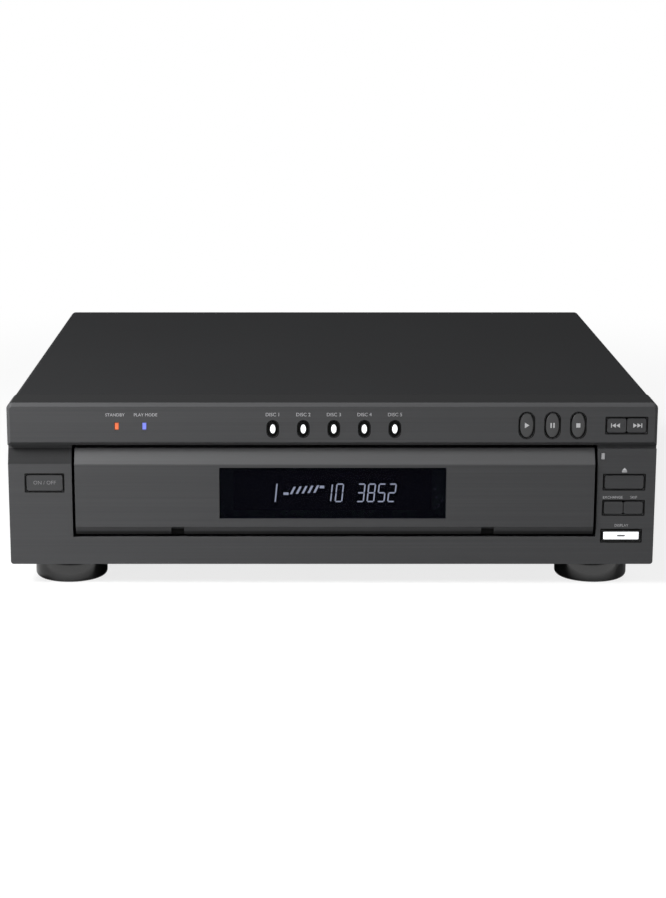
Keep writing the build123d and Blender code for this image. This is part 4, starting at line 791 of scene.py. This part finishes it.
def bossProfile(c):
    # round boss in the middle, its edge rounded, with a shallow dish in its top
    radius, bend, top = c["boss"], c["bossBend"], c["top"] + c["bossHeight"]
    outer, inner, deep = c["dish"]
    rows = [(0, c["top"] - c["bossFoot"]), (radius, c["top"] - c["bossFoot"]), (radius, top - bend)]
    rows += [(radius - bend + bend * cos(t), top - bend + bend * sin(t)) for t in np.linspace(0.2, pi / 2, 6)]
    return rows + [(outer, top), (outer - 0.6, top - deep), (inner + 0.5, top - deep), (inner, top), (0, top)]


def ringArcs(c, out, across):
    # low ring for the small disc, left out where the slot passes:
    # centre + r (cos v out + sin v across) + h up, with r and h from the profile
    r, h = (np.array(c["ringProfile"]) + (c["ring"], 0)).T[:, :, None, None]
    half = np.arcsin((c["slot"] + c["ringGap"]) / c["ring"])
    centre = carouselMiddle + c["circle"] * out + (0, 0, c["floor"])
    for low, high in ((half, pi - half), (pi + half, 2 * pi - half)):
        v = np.linspace(low, high, 40)[None, :, None]
        yield centre + r * (np.cos(v) * out + np.sin(v) * across) + h * np.array([0, 0, 1]), False


wellLayer = softPlate(wellOutline(carousel), carousel["floor"], carousel["top"], carousel["edge"], 2)
boss = latheGrid(bossProfile(carousel), carouselMiddle, turns=96)
wells = piece("carouselWells", [wellLayer, (boss, True)], "carousel", finishes["tray"])
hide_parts("carousel_wells")
numbers, wellRings = [], []
for k, a in enumerate(wellAngles):
    out, across = np.array([cos(a), sin(a), 0]), np.array([-sin(a), cos(a), 0])
    place = carouselMiddle + carousel["numberAt"] * out + (0, 0, carousel["top"])
    numbers.append((str(k + 1), carousel["numberSize"], place, carousel["numberThickness"], -across, out))
    wellRings += ringArcs(carousel, out, across)
piece("wellRings", wellRings, "carousel", finishes["tray"])
lettering("wellNumbers", numbers, "carousel", finishes["print"])
print("carousel made")


# what stands on the tilted deck; profiles are (radius, height) in mm along the deck's own upright
deck = {
    "tilt": 16, "pivot": (drawerX, 168.0, 73.0), "spindleAt": -77.0, "lensAt": -53.0,
    "turntable": [(0, 12.0), (12.4, 12.0), (12.8, 12.3), (13.0, 12.7), (13.0, 14.1), (12.7, 14.4),
                  (9.4, 14.4), (9.2, 14.2), (7.4, 14.2), (7.2, 14.5), (7.2, 15.7), (6.6, 16.8), (5.4, 17.5),
                  (2.2, 17.5), (1.9, 17.1), (1.6, 16.6), (0, 16.6)],
    "rubber": [(9.6, 14.2), (12.5, 14.2), (12.5, 14.45), (12.4, 14.5), (9.7, 14.5), (9.6, 14.45),
               (9.6, 14.2)],
    "spindle": [(0, 1.5), (10.0, 1.5), (10.0, 3.2), (9.6, 3.5), (9.6, 4.1), (10.0, 4.4), (10.0, 10.4),
                (9.7, 11.2), (8.9, 11.7), (0, 11.7)],
    "collar": [(0, 10.4), (4.3, 10.4), (4.3, 10.62), (4.1, 10.7), (3.3, 10.7), (3.2, 10.55), (0, 10.55)],
    "lens": [(0, 10.5)] + [(3.1 * cos(t), 10.55 + 0.5 * sin(t)) for t in np.linspace(0, pi / 2, 8)],
}
tilt = radians(deck["tilt"])
deckUp = np.array([0, -sin(tilt), cos(tilt)])
deckBack = np.array([0, cos(tilt), sin(tilt)])
spindlePlace = np.array(deck["pivot"]) + deck["spindleAt"] * deckBack
lensPlace = np.array(deck["pivot"]) + deck["lensAt"] * deckBack


def turned(name, profile, place, axis, turns, body, finish):
    # a profile of radius and height, swept round the axis
    return piece(name, [(latheGrid(profile, place, axis, turns), True)], body, finishes[finish])


disc = turned("turntableDisc", deck["turntable"], spindlePlace, deckUp, 64, "turntable", "black")
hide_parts("turntable")
turned("turntableRubber", deck["rubber"], spindlePlace, deckUp, 64, "turntable", "rubber")
spindle = turned("spindleMotorCan", deck["spindle"], spindlePlace, deckUp, 56, "deck", "motor")
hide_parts("spindle_motor")
turned("lensCollar", deck["collar"], lensPlace, deckUp, 48, "pickup", "nickel")
turned("pickupLens", deck["lens"], lensPlace, deckUp, 48, "pickup", "lens")

clampPulley = {"place": (drawerX, 91.0, 0), "turns": 64,
               "profile": [(0, 91.2), (8.4, 91.2), (9.2, 91.9), (9.2, 96.4), (12.0, 96.4), (12.3, 96.7),
                           (12.3, 98.1), (12.0, 98.4), (6.0, 98.4), (5.6, 98.0), (0, 98.0)]}
pulley = turned("clampPulleyDisc", clampPulley["profile"], clampPulley["place"], (0, 0, 1),
                clampPulley["turns"], "clamp_pulley", "frame")
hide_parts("clamp_pulley")
print("deck pieces made")


def screwGrid(centre, axis, d, turns=48, rows=14):
    # domed head with a cross cut into it: h = rise sqrt(1 - 0.8 (r/R)^2) - depth, the depth only
    # where |x| or |y| is inside the cross, which stands turned by 0.4
    centre, axis = np.array(centre, float), np.array(axis, float)
    side = np.cross(axis, (0.0, 0.0, 1.0) if abs(axis[2]) < 0.9 else (1.0, 0.0, 0.0))
    side /= np.linalg.norm(side)
    other = np.cross(axis, side)
    u = np.linspace(0, 2 * pi, turns, endpoint=False)[None, :]
    r = np.concatenate([[0], np.linspace(0.25, d["radius"], rows)])[:, None]
    near = np.minimum(np.abs(r * np.cos(u + 0.4)), np.abs(r * np.sin(u + 0.4)))
    cut = np.clip((d["cross"] - near) / 0.12, 0, 1) * np.clip((d["crossLength"] - r) / 0.3, 0, 1)
    h = d["rise"] * np.sqrt(1 - 0.8 * (r / d["radius"]) ** 2) - d["crossDepth"] * cut
    around = np.cos(u)[..., None] * side + np.sin(u)[..., None] * other
    head = centre + r[..., None] * around + h[..., None] * axis
    return np.concatenate([head, centre + d["radius"] * around, np.repeat(centre[None, None], turns, 1)])


# screws of the rear panel, places as x and z, and the flatter ones at the sides of the cover
rearScrew = {"radius": 2.9, "rise": 1.3, "cross": 0.42, "crossLength": 1.7, "crossDepth": 0.7,
             "places": [(-196, 119.5), (-66, 119.5), (66, 119.5), (196, 119.5), (-150, 21.0), (0, 21.0),
                        (150, 21.0), (119.0, 42.0), (-173.0, 44.0)]}
coverScrew = {"radius": 4.4, "rise": 0.75, "cross": 0.55, "crossLength": 2.6, "crossDepth": 0.45,
              "x": 214.2, "y": (-135.0, 150.0), "z": 32.0}
rearHeads = [screwGrid((x, backY, z), (0, 1, 0), rearScrew) for x, z in rearScrew["places"]]
piece("rearScrews", [(grid, True) for grid in rearHeads], "housing", finishes["screw"])
coverHeads = [screwGrid((side * coverScrew["x"], y, coverScrew["z"]), (side, 0, 0), coverScrew)
              for side in (-1, 1) for y in coverScrew["y"]]
piece("coverScrews", [(grid, True) for grid in coverHeads], "housing", finishes["screw"])
print("screws made")

# sockets on the back; profiles are (radius, distance out from the back)
jacks = {
    "spacing": 8.5, "turns": 48,
    "sleeve": [(0, 0), (4.2, 0), (4.2, 7.6), (3.95, 8.0), (3.6, 8.0), (3.4, 7.7), (3.4, 5.0), (0, 5.0)],
    "core": [(0, 4.8), (3.35, 4.8), (3.35, 7.3), (3.1, 7.5), (2.0, 7.5), (1.6, 7.2), (1.6, 5.2), (0, 5.2)],
    "ring": [(4.25, -0.2), (6.4, -0.2), (6.4, 0.8), (6.1, 1.1), (4.7, 1.1), (4.25, 0.8), (4.25, -0.2)],
}
jackMiddle = middleOf("jack_sleeves")
leftJack, rightJack = [(jackMiddle[0] + side * jacks["spacing"], backY, jackMiddle[2]) for side in (1, -1)]


def jackPart(place, part):
    # the part's profile swept round the line out of the back
    return latheGrid(jacks[part], place, (0, 1, 0), jacks["turns"]), True


sleeves = piece("jackTubes", [jackPart(leftJack, "sleeve"), jackPart(rightJack, "sleeve")],
                "housing", finishes["nickel"])
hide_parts("jack_sleeves")
for name, finish, place in (("leftJackCore", "whitePlastic", leftJack),
                            ("rightJackCore", "redPlastic", rightJack)):
    parts = [jackPart(place, "core"), jackPart(place, "ring")]
    piece(name, parts, "housing", finishes[finish])
optical = {"place": (140.0, backY, 42.0),
           "profile": [(0, -9.6), (1.5, -9.6), (1.5, -9.2), (1.2, -9.0), (0, -9.0)]}
turned("opticalGlow", optical["profile"], optical["place"], (0, 1, 0), 24, "housing", "redGlow")

# labels are (words, size, x, z); the border is x, z, width, height and line width
rearPrint = {"face": backY + 0.02, "thickness": 0.06, "border": (117.0, 45.5, 90.0, 34.0, 0.4),
             "borderThickness": 0.05,
             "labels": [("AUDIO OUT", 4.2, jackMiddle[0], 56.0), ("L", 4.0, leftJack[0], 50.6),
                        ("R", 4.0, rightJack[0], 50.6), ("DIGITAL OUT", 3.8, optical["place"][0], 56.0),
                        ("OPTICAL", 3.2, optical["place"][0], 50.8),
                        ("AC IN", 4.4, middleOf("mains_inlet")[0], 60.5)]}
rearLines = [(words, size, (x, rearPrint["face"], z), rearPrint["thickness"])
             for words, size, x, z in rearPrint["labels"]]
lettering("rearLabels", rearLines, "housing", finishes["mark"], right=(-1, 0, 0))
x, z, width, height, line = rearPrint["border"]
outer, inner = np.array(bar(x, z, width, height)), np.array(bar(x, z, width - 2 * line, height - 2 * line))
piece("rearBorder", [(flatRing(outer, inner, backY, backY + rearPrint["borderThickness"]), True)],
      "housing", finishes["mark"])
print("rear pieces made")


# the floor: tones as seen and as bounced, glow near the body, and where the far and side parts begin
floorLook = {"half": 8.0, "seen": 0.88, "bounce": 0.3, "near": 0.8, "far": (0.75, 0.7),
             "beside": (0.206, 0.03)}
half = floorLook["half"]
floorMesh = bpy.data.meshes.new("floor")
corners = [(-half, -half, 0), (half, -half, 0), (half, half, 0), (-half, half, 0)]
floorMesh.from_pydata(corners, [], [(0, 1, 2, 3)])
floor = bpy.data.objects.new("floor", floorMesh)
bpy.context.scene.collection.objects.link(floor)
floorPaint = Paint("paleFloor")
seen = floorPaint.node("ShaderNodeLightPath", {}, {}, "Is Camera Ray")
diffuse = floorPaint.node("ShaderNodeBsdfDiffuse", {}, {
    "Color": floorPaint.mix(seen, grey(floorLook["bounce"]), grey(floorLook["seen"]))})
lit = floorPaint.node("ShaderNodeEmission", {}, {"Color": (1, 1, 1, 1), "Strength": 1.0})
sideways, away = floorPaint.axes()[:2]
far = (sideways * sideways + away * away).math("SQRT").above(*floorLook["far"])
beside = (away * away).math("SQRT").above(*floorLook["beside"])
glow = seen * (floorLook["near"] + (1 - floorLook["near"]) * far) + seen.sibling("Is Glossy Ray") * beside
both = floorPaint.node("ShaderNodeMixShader", {}, {0: glow, 1: diffuse, 2: lit})
floorPaint.node("ShaderNodeOutputMaterial", {}, {"Surface": both})
floor.data.materials.append(floorPaint.owner)

# the studio: white to the camera and through glass, white overhead in reflections, dim elsewhere
studioLook = {"dim": (0.09, 0.091, 0.094, 1), "white": (1, 1, 1, 1), "overhead": (0.62, 0.5)}
world = bpy.data.worlds.new("studio")
bpy.context.scene.world = world
studio = Paint("studio", world)
direction = studio.node("ShaderNodeTexCoord", {}, {}, "Generated")
overhead = studio.node("ShaderNodeSeparateXYZ", {}, {"Vector": direction}, 2).above(*studioLook["overhead"])
direct = studio.node("ShaderNodeLightPath", {}, {}, "Is Camera Ray")
share = direct + direct.sibling("Is Glossy Ray") * overhead + direct.sibling("Is Transmission Ray")
tone = studio.mix(share.math("MINIMUM", 1.0), studioLook["dim"], studioLook["white"])
sky = studio.node("ShaderNodeBackground", {}, {"Color": tone, "Strength": 1.0})
studio.node("ShaderNodeOutputWorld", {}, {"Surface": sky})

lampAim = (0, 0, 0.06)
lamps = {
    "keyLamp": {"place": (-0.85, -0.6, 0.8), "size": 0.45, "power": 27.0},
    "fillLamp": {"place": (1.4, -0.9, 1.1), "size": 0.8, "power": 16.0},
    "stripLamp": {"place": (-1.1, -0.9, 0.3), "size": 0.3, "power": 2.5},
}
for name, lamp in lamps.items():
    data = bpy.data.lights.new(name, "AREA")
    data.size, data.energy = lamp["size"], lamp["power"]
    light = bpy.data.objects.new(name, data)
    bpy.context.scene.collection.objects.link(light)
    light.location = lamp["place"]
    light.rotation_euler = (Vector(lampAim) - light.location).to_track_quat("-Z", "Y").to_euler()

cameraSetup = {"place": (-0.022, -1.5385, 0.3907), "tilt": 12.5, "lens": 83.0, "shift": 0.038}
cameraData = bpy.data.cameras.new("camera")
cameraData.lens = cameraSetup["lens"]
cameraData.shift_x = cameraSetup["shift"]
camera = bpy.data.objects.new("camera", cameraData)
camera.location = cameraSetup["place"]
camera.rotation_euler = (radians(90 - cameraSetup["tilt"]), 0, 0)
bpy.context.scene.collection.objects.link(camera)
bpy.context.scene.camera = camera
bpy.context.scene.view_settings.view_transform = "Standard"
print("stage, lights and camera made")
